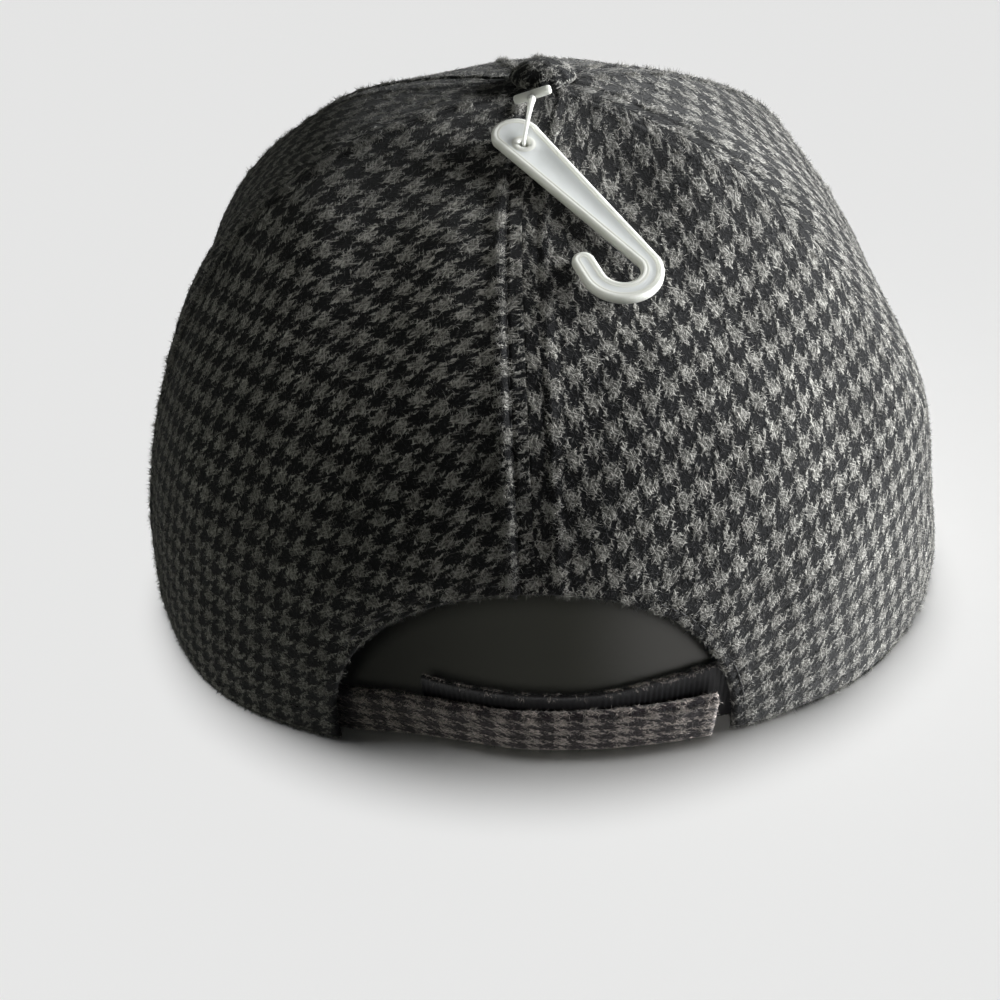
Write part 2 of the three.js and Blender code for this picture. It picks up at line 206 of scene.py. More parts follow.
dome_mesh = bpy.data.meshes.new("dome")
ball = bmesh.new()
around, upward = DOME_SEGMENTS
bmesh.ops.create_uvsphere(ball, u_segments=around, v_segments=upward, radius=DOME_RADIUS)
ball.to_mesh(dome_mesh)
ball.free()
dome = link_object("dome", dome_mesh)
dome_material, _, _ = new_material("dome", 1.0, Base_Color=rgba((0, 0, 0)), Specular_IOR_Level=0.0,
                                   Emission_Color=rgba(DOME_GLOW), Emission_Strength=1.0)
dome_mesh.materials.append(dome_material)
for seen_by in ("visible_diffuse", "visible_glossy", "visible_transmission", "visible_shadow"):
    setattr(dome, seen_by, False)


def receivers(name, state):
    """What a light shines on: the floor alone, or everything but the floor."""
    group = bpy.data.collections.new(name)
    group.objects.link(floor)
    group.collection_objects[0].light_linking.link_state = state
    return group


floor_alone = receivers("floor_alone", "INCLUDE")
all_but_floor = receivers("all_but_floor", "EXCLUDE")


def hang(lamp, row, place, outward, lit):
    """Puts a lamp in its place, with its back to a direction, for one group of objects."""
    lamp.energy = row["power"]
    lamp.color = row["colour"]
    placed = link_object(row["name"], lamp)
    placed.location = place
    placed.rotation_euler = outward.to_track_quat("Z", "Y").to_euler()
    placed.light_linking.receiver_collection = lit


for row in LIGHTS:
    turn = math.radians(row["turn"])
    above = math.radians(row["above"])
    outward = Vector((math.sin(turn) * math.cos(above), math.cos(turn) * math.cos(above), math.sin(above)))
    lamp = bpy.data.lights.new(row["name"], "AREA")
    lamp.shape = "RECTANGLE"
    lamp.size = row["wide"]
    lamp.size_y = row["tall"]
    hang(lamp, row, LIGHT_TARGET + outward * row["away"], outward, all_but_floor)

overhead = bpy.data.lights.new("floor_light", "SUN")
overhead.energy = FLOOR_LIGHT_STRENGTH
overhead.angle = math.radians(FLOOR_LIGHT_WIDTH)
link_object("floor_light", overhead).light_linking.receiver_collection = floor_alone

for row in SPOTS:
    lamp = bpy.data.lights.new(row["name"], "SPOT")
    lamp.spot_size = math.radians(row["cone"])
    lamp.spot_blend = SPOT_SOFTNESS
    lamp.shadow_soft_size = row["radius"]
    outward = Vector(row["place"]) - Vector(row["target"])
    lit = floor_alone if row["name"].startswith("inside") else all_but_floor
    hang(lamp, row, row["place"], outward, lit)

sky = bpy.data.worlds.new("sky")
sky.use_nodes = True
sky.node_tree.nodes["Background"].inputs["Color"].default_value = rgba(SKY_COLOUR)
sky.node_tree.nodes["Background"].inputs["Strength"].default_value = SKY_STRENGTH
bpy.context.scene.world = sky


# The cloth is brushed wool in houndstooth check: threads in fours of light and dark both ways, in a
# two-and-two twill, with loose fibres over it. Its inner side is plain and dark.
CHECK_SHORT = 4.3
CHECK_LONG = 5.75
CHECK_EDGE = 1.1
TWILL_EDGE = 0.8
MIXED_SHARE = 0.74
WANDERS = [(0.22, 0.5), (1.9, 1.44)]
# Gap colours are painted shade between the fibre streaks; on dark yarn the lighter streaks are a painted
# sheen.
LIGHT_GAP_PAINTED_SHADE = (0.095, 0.093, 0.087)
LIGHT_YARN = (0.42, 0.411, 0.383)
DARK_GAP_PAINTED_SHADE = (0.0045, 0.0047, 0.0052)
DARK_YARN = (0.0135, 0.0138, 0.0155)
STREAKS = [(35, 1.0), (-48, 1.13), (88, 0.92)]
STREAK_LONG = 0.7
STREAK_FINE = 2.7
STREAK_EDGE = (0.47, 0.76)
FUZZED_EDGE = 0.7
LIGHT_FROM = (0.15, 0.9)
CLOUDS = {"scale": 0.06, "edge": (0.2, 0.8), "depth": 0.3}
PATCHES = {"scale": 0.2, "edge": (0.3, 0.7), "depth": 0.4}
DARKEST_SHADE = 0.65
CLOTH_BUMP = 0.22 * MM
FIBRE_DIM = 0.3
FIBRE_BRIGHT = 1.02
FIBRE_ON_DARK = 2.2
INSIDE_COLOUR = (0.12, 0.12, 0.106)
INSIDE_BUMP = 0.15 * MM


def streaks(place, turn, size):
    """Fine lines along one direction of the cloth, from 0 to 1."""
    settings = {"vector_type": "TEXTURE"}
    stretch = (1 / (STREAK_LONG * size), 1 / (STREAK_FINE * size), 1.0)
    sockets = {"Vector": place, "Rotation": (0, 0, math.radians(turn)), "Scale": stretch}
    return place.node("ShaderNodeMapping", settings, sockets).noise(1.0).between(*STREAK_EDGE)


def yarns(shade):
    """How light the yarn is at a place on the cloth, the fibres that cover it, and that place itself."""
    place = shade.node("ShaderNodeUVMap", {"uv_map": "cloth"}, {})
    across, along = place.part(0), place.part(1)
    for scale, amount in WANDERS:
        drift = place.noise(scale, 2.0, output=1)
        across = across + (drift.part(0) - 0.5) * amount
        along = along + (drift.part(1) - 0.5) * amount
    warp = ((across * (2 * math.pi / CHECK_SHORT)).sine() * CHECK_EDGE + 0.5).clamped()
    weft = ((along * (2 * math.pi / CHECK_LONG)).sine() * CHECK_EDGE + 0.5).clamped()
    slant = across * (4 * math.pi / CHECK_SHORT) - along * (4 * math.pi / CHECK_LONG)
    twill = (slant.sine() * TWILL_EDGE + 0.5).clamped()
    lightness = (warp * twill + weft * (1 - twill)) * (warp * weft * (1 - MIXED_SHARE) + MIXED_SHARE)
    fibres = None
    for turn, size in STREAKS:
        layer = streaks(place, turn, size)
        fibres = layer if fibres is None else fibres.larger(layer)
    return lightness, fibres, place


def cloth_material(name, tint=(1.0, 1.0, 1.0), dark_tint=(1.0, 1.0, 1.0)):
    material, surface, start = new_material(name, 0.92, Sheen_Weight=0.12, Sheen_Roughness=0.5,
                                            Specular_IOR_Level=0.12)
    lightness, fibres, place = yarns(start)
    # Each yarn darkens to painted shade in the gaps between fibre streaks, and dark yarn's streaks carry
    # painted sheen.
    light = fibres.blend(rgba(LIGHT_GAP_PAINTED_SHADE), rgba(np.multiply(LIGHT_YARN, tint)))
    dark = fibres.blend(rgba(np.multiply(DARK_GAP_PAINTED_SHADE, dark_tint)), rgba(np.multiply(DARK_YARN, dark_tint)))
    mask = (lightness + (fibres - 0.5) * FUZZED_EDGE).between(*LIGHT_FROM)
    colour = mask.blend(dark, light)
    cloudy = place.noise(CLOUDS["scale"], 3.0).between(*CLOUDS["edge"])
    patchy = place.noise(PATCHES["scale"], 2.0).between(*PATCHES["edge"])
    shade = cloudy * CLOUDS["depth"] + patchy * PATCHES["depth"] + DARKEST_SHADE
    shaded = start.node("ShaderNodeVectorMath", {"operation": "SCALE"}, {0: colour, "Scale": shade})
    start.feed(surface, "Base Color", shaded)
    height = fibres * (lightness * 0.7 + 0.2) + lightness * 0.4
    bump = start.node("ShaderNodeBump", {}, {"Height": height, "Strength": 0.8, "Distance": CLOTH_BUMP})
    start.feed(surface, "Normal", bump)
    return material


def fibre_material(name, tint=(1.0, 1.0, 1.0)):
    material, surface, start = new_material(name, 0.7, Sheen_Weight=0.1, Specular_IOR_Level=0.2)
    lightness, _, place = yarns(start)
    each = start.node("ShaderNodeTexWhiteNoise", {"noise_dimensions": "2D"}, {"Vector": place})
    bright = np.multiply(np.multiply(LIGHT_YARN, FIBRE_BRIGHT), tint)
    light = each.blend(rgba(np.multiply(LIGHT_YARN, FIBRE_DIM)), rgba(bright))
    # The dimmest fibres on dark yarn take the painted-shade gap colour.
    dark = each.blend(rgba(DARK_GAP_PAINTED_SHADE), rgba(np.multiply(DARK_YARN, FIBRE_ON_DARK)))
    start.feed(surface, "Base Color", lightness.between(0.3, 0.7).blend(dark, light))
    return material


def inside_material():
    material, surface, start = new_material("cloth_inside", 0.95, Specular_IOR_Level=0.1)
    place = start.node("ShaderNodeUVMap", {"uv_map": "cloth"}, {})
    grain = place.noise(2.5, 2.0).between(0.3, 0.7)
    colour = grain.blend(rgba(np.multiply(INSIDE_COLOUR, 0.6)), rgba(np.multiply(INSIDE_COLOUR, 1.6)))
    start.feed(surface, "Base Color", colour)
    bump = start.node("ShaderNodeBump", {}, {"Height": grain, "Strength": 0.5, "Distance": INSIDE_BUMP})
    start.feed(surface, "Normal", bump)
    return material


crown_cloth = cloth_material("crown_cloth")
crown_fibre = fibre_material("crown_fibre")
cloth_inside = inside_material()


# The crown is a shell of six panels, highest under the button. Its outline differs at the sides, the
# back and the front, its seams stand a little proud of the panels, and its rim rises in front.
CAP_MIDDLE = np.array((0.0, 31.47, 0.0)) * MM
CROWN_HEIGHT = 105 * MM
WALL = 2.0 * MM
TOP_PEAKING = 1.6 * MM
TOP_SPREAD = 28.4 * MM
BUTTON_SIDEWAYS = -5.5 * MM
BUTTON_FORWARD = -0.7 * MM
BACK_LEAN = 7.2 * MM
PLAN_SQUARENESS = 2.515
SEAM_RIDGE = 0.05
SEAM_SOFTENING = 0.024
FLAT_RIM_TURN = 60
RAISED_RIM_TURN = 165
FRONT_RIM_RISE = 15 * MM
RIM_RISE_FADE = 1.5
TOP_SHARE = 1 - 1e-12
NORMAL_CLIMB = 0.002
NORMAL_TURN = 1.0
OUTLINES = {
    "side": {"widest": 93.6, "level": -70.9, "rim": 93.6, "fullness": 2.83},
    "back": {"widest": 95.3, "level": 37.9, "rim": 89.6, "fullness": 1.9},
    "front": {"widest": 93.5, "level": 56.5, "rim": 88.8, "fullness": 1.73},
}
# Each panel: the turns of its two seams, and how far the cloth's long and short ways lean from the
# panel's middle line and from square to it. ridges are how far the cloth stands up beyond the stitches
# at the two seams. drawn gives the height from which the cloth is drawn out towards the button, how much
# its short and long ways grow, and how far they turn. nap is the number of loose fibres on a square
# millimetre.
PANELS = [
    {"name": "crown_back_left", "start": 0, "end": 68, "long_lean": -11.5, "short_lean": -4,
     "ridges": (0.6, 0.4), "drawn": (85, 0.54, 0.39, -22, 15), "nap": 2.4},
    {"name": "crown_side_left", "start": 68, "end": 120, "long_lean": -12, "short_lean": -8,
     "ridges": (0.1, 0.2), "drawn": (85, 0.36, 0.26, -14, 10), "nap": 1.4},
    {"name": "crown_front_left", "start": 120, "end": 180, "long_lean": -12, "short_lean": -12,
     "ridges": (0.3, 0.3), "drawn": (85, 0.18, 0.13, -7, 5), "nap": 0.8},
    {"name": "crown_front_right", "start": -180, "end": -120, "long_lean": 12, "short_lean": 12,
     "ridges": (0.3, 0.3), "drawn": (85, 0.18, 0.13, 7, -5), "nap": 0.8},
    {"name": "crown_side_right", "start": -120, "end": -56, "long_lean": 12, "short_lean": 12,
     "ridges": (0.2, 0.1), "drawn": (70, 0.6, 0.1, -14, -25), "nap": 1.4},
    {"name": "crown_back_right", "start": -56, "end": 0, "long_lean": 13, "short_lean": 18,
     "ridges": (0.1, 0.25), "drawn": (85, 0.54, 0.39, 22, -15), "nap": 2.8},
]


def climb_at(height):
    return np.arcsin(height / CROWN_HEIGHT) / (math.pi / 2)


def outline_radius(outline, height):
    widest, level, rim = (outline[key] * MM for key in ("widest", "level", "rim"))
    share = np.clip((height - level) / (CROWN_HEIGHT - level), 0, TOP_SHARE)
    upper = widest * (1 - share ** outline["fullness"]) ** (1 / outline["fullness"])
    lower = widest - (widest - rim) * ((level - height) / level) ** 2
    return np.where(height < level, lower, upper)


def seam_wave(turn):
    """1 on a seam and -1 in the middle of a panel."""
    wrapped = (turn + 180) % 360 - 180
    wave = np.zeros_like(wrapped)
    for panel in PANELS:
        share = (wrapped - panel["start"]) / (panel["end"] - panel["start"])
        wave = np.where((share >= 0) & (share <= 1), np.cos(2 * np.pi * share), wave)
    return wave


def crown_point(turn, climb):
    """Points on the crown's outer face. The climb runs from 0 at the rim to 1 under the button."""
    turn, climb = np.broadcast_arrays(np.asarray(turn, float), np.asarray(climb, float))
    height = CROWN_HEIGHT * np.sin(climb * math.pi / 2)
    sine = np.sin(np.radians(turn))
    cosine = np.cos(np.radians(turn))
    side = outline_radius(OUTLINES["side"], height)
    back = outline_radius(OUTLINES["back"], height)
    end = np.where(cosine > 0, back, outline_radius(OUTLINES["front"], height))
    squared = np.abs(sine / side) ** PLAN_SQUARENESS + np.abs(cosine / end) ** PLAN_SQUARENESS
    ridge = (SEAM_RIDGE - SEAM_SOFTENING * np.sin(math.pi * climb)) * height / CROWN_HEIGHT
    radius = squared ** (-1 / PLAN_SQUARENESS) * (1 + ridge * seam_wave(turn))
    near_top = np.exp(-((radius / TOP_SPREAD) ** 2))
    raised = np.clip((np.abs(turn) - FLAT_RIM_TURN) / (RAISED_RIM_TURN - FLAT_RIM_TURN), 0, 1)
    front = raised * raised * (3 - 2 * raised)
    z = height + FRONT_RIM_RISE * front * (1 - climb) ** RIM_RISE_FADE + TOP_PEAKING * near_top
    x = radius * sine + BUTTON_SIDEWAYS * near_top
    y = radius * cosine + BUTTON_FORWARD * near_top + BACK_LEAN * z / CROWN_HEIGHT
    return np.stack([x, y, z], axis=-1) + CAP_MIDDLE


def unit(vectors):
    return vectors / np.linalg.norm(vectors, axis=-1, keepdims=True)


def crown_normal(turn, climb):
    above = np.minimum(climb + NORMAL_CLIMB, 1 - NORMAL_CLIMB)
    up = crown_point(turn, above) - crown_point(turn, climb - NORMAL_CLIMB)
    aside = crown_point(turn + NORMAL_TURN, climb) - crown_point(turn - NORMAL_TURN, climb)
    return unit(np.cross(up, aside))


def level_normal(turn, climb):
    """Straight out of the crown on the level."""
    normal = crown_normal(turn, climb)
    normal[..., 2] = 0
    return unit(normal)


def lengths_along(points):
    """Distance from the first point to each point of a line, or of each line of a stack."""
    steps = np.linalg.norm(np.diff(points, axis=-2), axis=-1)
    start = np.zeros(steps.shape[:-1] + (1,))
    return np.concatenate([start, np.cumsum(steps, axis=-1)], axis=-1)


# Each panel is cut flat, and its cloth is turned under at the seams, the rim and the arched opening.
# The seams are topstitched on both sides, and the arch has one row of stitches.
PANEL_TOP = 0.985
DRAWN_OVER = 48
DRAWN_MOST = 1.3
DRAWN_CURVE = 1.5
SEAM_FOLD = 0.08
EDGE_FOLD = 1.0
DEEPEST = 0.95
STITCH_FROM_SEAM = 2.9
STITCH_LENGTH = 2.7
GROOVE_DEPTH = 0.03
GROOVE_WIDTH = 0.38
RIDGE_FROM_SEAM = 4.1
RIDGE_WIDTH = 1.0
PUCKER_FROM_SEAM = 3.5
PUCKER_WIDTH = 2.8
PUCKER_HEIGHT = 0.13
PUCKER_LENGTH = 6.3
PUCKER_DRIFT = 9.1
HEM_STITCH_IN = 2.3
HEM_GROOVE = (0.2, 0.4)
HEM_ROLL_IN = 4.0
HEM_ROLL = (0.1, 1.2)
HEM_STITCH_SUNK = 0.3
ARCH_CENTRE = 2.3 * MM
ARCH_HALF_WIDTH = 39.4 * MM
ARCH_HEIGHT = 45.8 * MM
ARCH_SQUARENESS = 2.25
ARCH_STEPS = 120
ARCH_WIDEST_TURN = 60.0
NEAR_SEAM = [0, 0.2, 0.5, 0.9, 1.4, 1.9, 2.3, 2.6, 2.9, 3.2, 3.6, 4.2, 4.9, 5.7, 6.6]
NEAR_EDGE = [0, 0.06, 0.2, 0.4, 0.7, 1.0, 1.4, 1.8, 2.1, 2.4, 2.7, 3.1, 3.7, 4.5]
MESH_STEP = 1.35
CLOSEST_COLUMNS = 0.07
UPPER_ROWS = 96
FLAT_COLUMNS = 60
FLAT_ROWS = 159
FLAT_TOP = 0.995
FLAT_LEAST_BEND = 1e-5


def arch_line():
    """The opening's outline on the crown's outer face, as turns and climbs from left to right."""
    angle = np.linspace(0, np.pi, ARCH_STEPS + 1)
    power = 2 / ARCH_SQUARENESS
    x = ARCH_CENTRE + ARCH_HALF_WIDTH * np.sign(np.cos(angle)) * np.abs(np.cos(angle)) ** power
    climb = climb_at(ARCH_HEIGHT * np.abs(np.sin(angle)) ** power)
    low = np.full_like(x, -ARCH_WIDEST_TURN)
    high = np.full_like(x, ARCH_WIDEST_TURN)
    for _ in range(40):
        middle = (low + high) / 2
        below = crown_point(middle, climb)[..., 0] < x
        low = np.where(below, middle, low)
        high = np.where(below, high, middle)
    return (low + high) / 2, climb


arch_turns, arch_climbs = arch_line()
arch_points = crown_point(arch_turns, arch_climbs)


def panel_columns(panel, arched):
    """The turns of a panel's columns, close together at its seams and along the arch."""
    turns = np.linspace(panel["start"], panel["end"], 400)
    across = lengths_along(crown_point(turns, 0.3)) / MM
    width = across[-1]
    near = np.array(NEAR_SEAM)
    middle = np.linspace(near[-1], width - near[-1], int(width / MESH_STEP))
    chosen = np.interp(np.concatenate([near, middle, width - near]), across, turns)
    if arched:
        inside = (arch_turns > panel["start"]) & (arch_turns < panel["end"])
        chosen = np.concatenate([chosen, arch_turns[inside]])
    chosen = np.unique(np.round(chosen, 4))
    kept = [chosen[0]]
    for turn in chosen[1:-1]:
        if turn - kept[-1] > CLOSEST_COLUMNS:
            kept.append(turn)
    return np.array([*kept, chosen[-1]])


def flat_cloth(panel, turn, climb):
    """Where points of a panel lie once it is unrolled flat from its middle line, and their distances
    from its two seams, in millimetres."""
    turns = np.linspace(panel["start"], panel["end"], FLAT_COLUMNS + 1)
    climbs = np.linspace(0, FLAT_TOP, FLAT_ROWS + 1)
    grid = crown_point(turns[None, :], climbs[:, None]) / MM
    across = lengths_along(grid)
    middle = FLAT_COLUMNS // 2
    from_middle = across - across[:, middle: middle + 1]
    up = lengths_along(grid[:, middle])
    along_up = unit(np.gradient(grid[:, middle], axis=0))
    before, here, after = grid[:, middle - 3], grid[:, middle], grid[:, middle + 3]
    gap = (np.linalg.norm(after - here, axis=-1) + np.linalg.norm(here - before, axis=-1)) / 2
    bend = (after - 2 * here + before) / gap[:, None] ** 2
    curvature = np.maximum(np.sum(bend * along_up, axis=-1), FLAT_LEAST_BEND)
    column = (turn - panel["start"]) / (panel["end"] - panel["start"]) * FLAT_COLUMNS
    row = climb / FLAT_TOP * FLAT_ROWS

    def looked_up(table):
        left = np.clip(column.astype(int), 0, FLAT_COLUMNS - 1)
        below = np.clip(row.astype(int), 0, FLAT_ROWS - 1)
        a, b = column - left, row - below
        low = table[below, left] * (1 - a) + table[below, left + 1] * a
        high = table[below + 1, left] * (1 - a) + table[below + 1, left + 1] * a
        return low * (1 - b) + high * b

    sideways = looked_up(from_middle)
    bent = np.interp(climb, climbs, curvature)
    x = np.sin(bent * sideways) / bent
    y = np.interp(climb, climbs, up) + (1 - np.cos(bent * sideways)) / bent
    from_start = sideways - np.interp(climb, climbs, from_middle[:, 0])
    from_end = np.interp(climb, climbs, from_middle[:, -1]) - sideways
    return x, y, from_start, from_end


def on_grain(panel, x, y):
    """Flat places as steps along the cloth's own short and long ways."""
    levels = np.arange(200.0)
    level, short_drawn, long_drawn, short_turn, long_turn = panel["drawn"]
    share = np.clip((levels - level) / DRAWN_OVER, 0, DRAWN_MOST) ** DRAWN_CURVE
    short = np.radians(panel["short_lean"] + short_turn * share)
    long = np.radians(panel["long_lean"] + long_turn * share)
    short_step, long_step = 1 + short_drawn * share, 1 + long_drawn * share
    ways = np.array([[-np.cos(short) * short_step, np.sin(long) * long_step],
                     [np.sin(short) * short_step, np.cos(long) * long_step]])
    steps = np.linalg.inv(np.moveaxis(ways, -1, 0))
    climbed = np.cumsum(steps[:, :, 1], axis=0)
    return np.stack([np.interp(y, levels, steps[:, way, 0]) * x + np.interp(y, levels, climbed[:, way])
                     for way in (0, 1)], axis=-1)


def distance_to_line(points, line):
    """Distance from each point to a line of points, and how far along the line the nearest place is."""
    start, span = line[:-1], np.diff(line, axis=0)
    length = np.linalg.norm(span, axis=1)
    travelled = np.concatenate([[0], np.cumsum(length)[:-1]])
    best = np.full(len(points), np.inf)
    along = np.zeros(len(points))
    for a, step, size, before in zip(start, span, length, travelled):
        share = np.clip(((points - a) @ step) / size**2, 0, 1)
        gap = np.linalg.norm(points - a - share[:, None] * step, axis=1)
        nearer = gap < best
        best = np.where(nearer, gap, best)
        along = np.where(nearer, before + share * size, along)
    return best, along


def fold(distance, radius):
    """How far a turned-under edge falls away, at a distance from the edge."""
    inside = np.clip(radius - distance, 0, radius)
    return radius - np.sqrt(radius**2 - inside**2)


def swell(distance, middle, width):
    """1 at a distance from an edge, with a soft fall to 0 on both sides of it."""
    return np.exp(-(((distance - middle) / width) ** 2))


def seam_relief(distance, along, phase, ridge):
    """The cloth's rise beside a seam: the seam itself, its row of stitches, and the ridge beyond it."""
    dimple = 0.7 + 0.3 * np.cos(2 * np.pi * along / STITCH_LENGTH)
    relief = -fold(distance, SEAM_FOLD)
    relief -= (GROOVE_DEPTH + ridge) * dimple * swell(distance, STITCH_FROM_SEAM, GROOVE_WIDTH)
    relief += ridge * swell(distance, RIDGE_FROM_SEAM, RIDGE_WIDTH)
    drift = 1.7 * np.sin(along / PUCKER_DRIFT + phase)
    pucker = np.sin(2 * np.pi * along / PUCKER_LENGTH + phase + drift)
    return relief + PUCKER_HEIGHT * pucker * swell(distance, PUCKER_FROM_SEAM, PUCKER_WIDTH)


# The worn cloth is slack: it has slow waves all over, and soft dents and rises. Each of those has a middle,
# a radius and a height, which is below 0 for a hollow, all in millimetres.
SLACK_WAVES = 7
SLACK_WAVELENGTHS = (17, 42)
SLACK_HEIGHT = 0.1
SLACK_SEED = 11
DENTS = [
    ((24, 84, 93), 13, -1.3), ((25, 98, 85), 13, -1.2), ((38, 76, 93), 14, 1.2), ((37, 92, 85), 14, 1.1),
    ((13, 87, 93), 9, 1.3), ((14, 100, 86), 9, 1.2), ((6, 108, 80), 15, 1.6), ((-18, 74, 99), 11, -1.4),
    ((-33, 3, 98), 15, -2.3), ((-68, 8, 78), 16, -2.5), ((22, -8, 97), 16, -2.0), ((52, 3, 91), 17, -1.8),
    ((-80, 65, 47), 16, 2.0), ((-85, 73, 10), 12, 1.4), ((-74, 86, 52), 15, 2.0),
]


def slack(points, seed):
    """Slow rises and falls of a soft cloth wall, in millimetres, with its dents."""
    rng = np.random.default_rng(seed)
    total = np.zeros(points.shape[:-1])
    for _ in range(SLACK_WAVES):
        way = unit(rng.normal(size=3))
        wavelength = rng.uniform(*SLACK_WAVELENGTHS) * MM
        total += np.sin(2 * np.pi * (points @ way) / wavelength + rng.uniform(0, 2 * np.pi))
    total *= SLACK_HEIGHT
    for middle, radius, height in DENTS:
        away = np.linalg.norm(points / MM - middle, axis=-1)
        total += height * swell(away, 0, radius)
    return total


def sheet_faces(rows, columns):
    """Faces of a closed sheet whose outer points come first, row by row, and then its inner ones."""
    index = np.arange(rows * columns).reshape(rows, columns)
    size = rows * columns
    outer = np.stack([index[:-1, :-1], index[1:, :-1], index[1:, 1:], index[:-1, 1:]], -1).reshape(-1, 4)
    inner = outer[:, ::-1] + size
    walls = []
    for edge in (index[0], index[:, -1], index[-1, ::-1], index[::-1, 0]):
        walls.append(np.stack([edge[:-1], edge[1:], edge[1:] + size, edge[:-1] + size], -1))
    return outer, inner, np.concatenate(walls)


WELD_DISTANCE = 0.003 * MM


class Piece:
    """Gathers the points and faces of one piece, with each point's place on the flat cloth. A welded
    piece has the points that lie together joined, and its faces turned outward."""

    def __init__(self):
        self.points = []
        self.places = []
        self.faces = []
        self.slots = []
        self.count = 0

    def add(self, points, places, groups):
        for slot, faces in groups:
            self.faces.extend((faces + self.count).tolist())
            self.slots.extend([slot] * len(faces))
        self.points.append(points.reshape(-1, 3))
        self.places.append(places.reshape(-1, 2))
        self.count += len(self.points[-1])

    def finish(self, name, materials, weld=False):
        mesh = bpy.data.meshes.new(name)
        mesh.from_pydata(np.concatenate(self.points).tolist(), [], self.faces)
        corner = np.empty(len(mesh.loops), int)
        mesh.loops.foreach_get("vertex_index", corner)
        layer = mesh.uv_layers.new(name="cloth")
        layer.data.foreach_set("uv", np.concatenate(self.places)[corner].ravel().astype(np.float32))
        mesh.polygons.foreach_set("use_smooth", np.ones(len(self.faces), bool))
        mesh.polygons.foreach_set("material_index", np.array(self.slots, np.int32))
        for material in materials:
            mesh.materials.append(material)
        if weld:
            work = bmesh.new()
            work.from_mesh(mesh)
            bmesh.ops.remove_doubles(work, verts=work.verts, dist=WELD_DISTANCE)
            bmesh.ops.recalc_face_normals(work, faces=work.faces)
            work.to_mesh(mesh)
            work.free()
        return link_object(name, mesh)


def check_lightness(places):
    """The check without its fuzz: 1 on light yarn and 0 on dark."""
    short, long = places[..., 0] / CHECK_SHORT, places[..., 1] / CHECK_LONG
    twill = np.sin(4 * np.pi * (short - long)) > 0
    return np.where(twill, np.sin(2 * np.pi * short) > 0, np.sin(2 * np.pi * long) > 0)


NAP_ON_DARK = 0.4
NAP_LENGTH = (0.6, 1.5)
NAP_RADIUS = 0.068
NAP_THICKNESS = (0.7, 1.3)
NAP_SHALLOWEST = 6
NAP_STEEPEST = 26
NAP_BENT = 0.12
NAP_BEND = (1.2, 0.35)
NAP_WAIST = 0.8
NAP_SUNK = 0.1
NAP_SLOT = 2
SMALLEST_CELL = 1e-4
SHORTEST_SIDE = 1e-9


def nap(piece, points, places, rng, density, length=NAP_LENGTH, slot=NAP_SLOT, steepest=NAP_STEEPEST,
        on_dark=NAP_ON_DARK):
    """Loose fibres over the outer face of a grid of points, as thin spikes with three sides. Most are
    straight, and the rest are bent once. density is their number on a square millimetre of light yarn."""
    a, b, c, d = points[:-1, :-1], points[:-1, 1:], points[1:, 1:], points[1:, :-1]
    normal = np.cross(c - a, b - d)
    area = np.linalg.norm(normal, axis=-1) / 2 / MM**2
    count = rng.poisson(area.sum() * density)
    chosen = rng.choice(area.size, size=count, p=area.ravel() / area.sum())
    row, column = np.unravel_index(chosen, area.shape)
    u, v = rng.random((2, count, 1))

    def mixed(grid):
        low = grid[row, column] * (1 - u) + grid[row, column + 1] * u
        high = grid[row + 1, column] * (1 - u) + grid[row + 1, column + 1] * u
        return low * (1 - v) + high * v

    root, place = mixed(points), mixed(places)
    keep = rng.random(count) < np.where(check_lightness(place), 1, on_dark)
    keep &= area[row, column] > SMALLEST_CELL
    root, place, row, column = root[keep], place[keep], row[keep], column[keep]
    out = unit(normal[row, column])
    aside = b - a
    closed = np.linalg.norm(aside, axis=-1, keepdims=True) < SHORTEST_SIDE
    aside = unit(np.where(closed, c - d, aside)[row, column])
    count = len(root)
    heading = rng.uniform(0, 2 * np.pi, (count, 1))
    rise = np.radians(rng.uniform(NAP_SHALLOWEST, steepest, (count, 1)))
    bend = rng.uniform(-1, 1, (count, 1))
    flat = aside * np.cos(heading) + np.cross(out, aside) * np.sin(heading)
    side = np.cross(out, flat)
    reach = rng.uniform(*length, (count, 1)) * MM
    first = flat * np.cos(rise) + out * np.sin(rise)
    second = unit(flat * NAP_BEND[0] + side * bend - out * NAP_BEND[1])
    middle = root + first * reach * 0.5
    radius = rng.uniform(*NAP_THICKNESS, (count, 1)) * NAP_RADIUS * MM

    def ring(centre, way, wide):
        upward = np.cross(side, way)
        angles = (0, 2 * np.pi / 3, 4 * np.pi / 3)
        return [centre + (side * math.cos(t) + upward * math.sin(t)) * radius * wide for t in angles]

    foot = ring(root - out * NAP_SUNK * MM, first, 1.0)
    waist = ring(middle, unit(first + second), NAP_WAIST)
    bent = rng.random(count) < NAP_BENT
    straight = np.stack([*foot, root + first * reach], axis=1)[~bent]
    curved = np.stack([*foot, *waist, middle + second * reach * 0.5], axis=1)[bent]
    sides = spread_faces([[1, 0, 3], [2, 1, 3], [0, 2, 3], [0, 1, 2]], len(straight), 4)
    piece.add(straight, np.repeat(place[~bent, None], 4, axis=1), [(slot, sides)])
    lower = spread_faces([[1, 0, 3, 4], [2, 1, 4, 5], [0, 2, 5, 3]], len(curved), 7)
    tips = spread_faces([[4, 3, 6], [5, 4, 6], [3, 5, 6], [0, 1, 2]], len(curved), 7)
    piece.add(curved, np.repeat(place[bent, None], 7, axis=1), [(slot, lower), (slot, tips)])


def spread_faces(faces, copies, corners):
    """The faces of one small shape, repeated for copies that follow each other."""
    starts = np.arange(copies)[:, None, None] * corners
    return (starts + np.array(faces)).reshape(-1, len(faces[0]))


THREAD_COLOUR = (0.012, 0.012, 0.013)
THREAD_RADIUS = 0.2
THREAD_GAP = 0.5
THREAD_SUNK = 0.05
THREAD_SLOT = 3
thread, _, _ = new_material("thread", 0.6, Base_Color=rgba(THREAD_COLOUR))


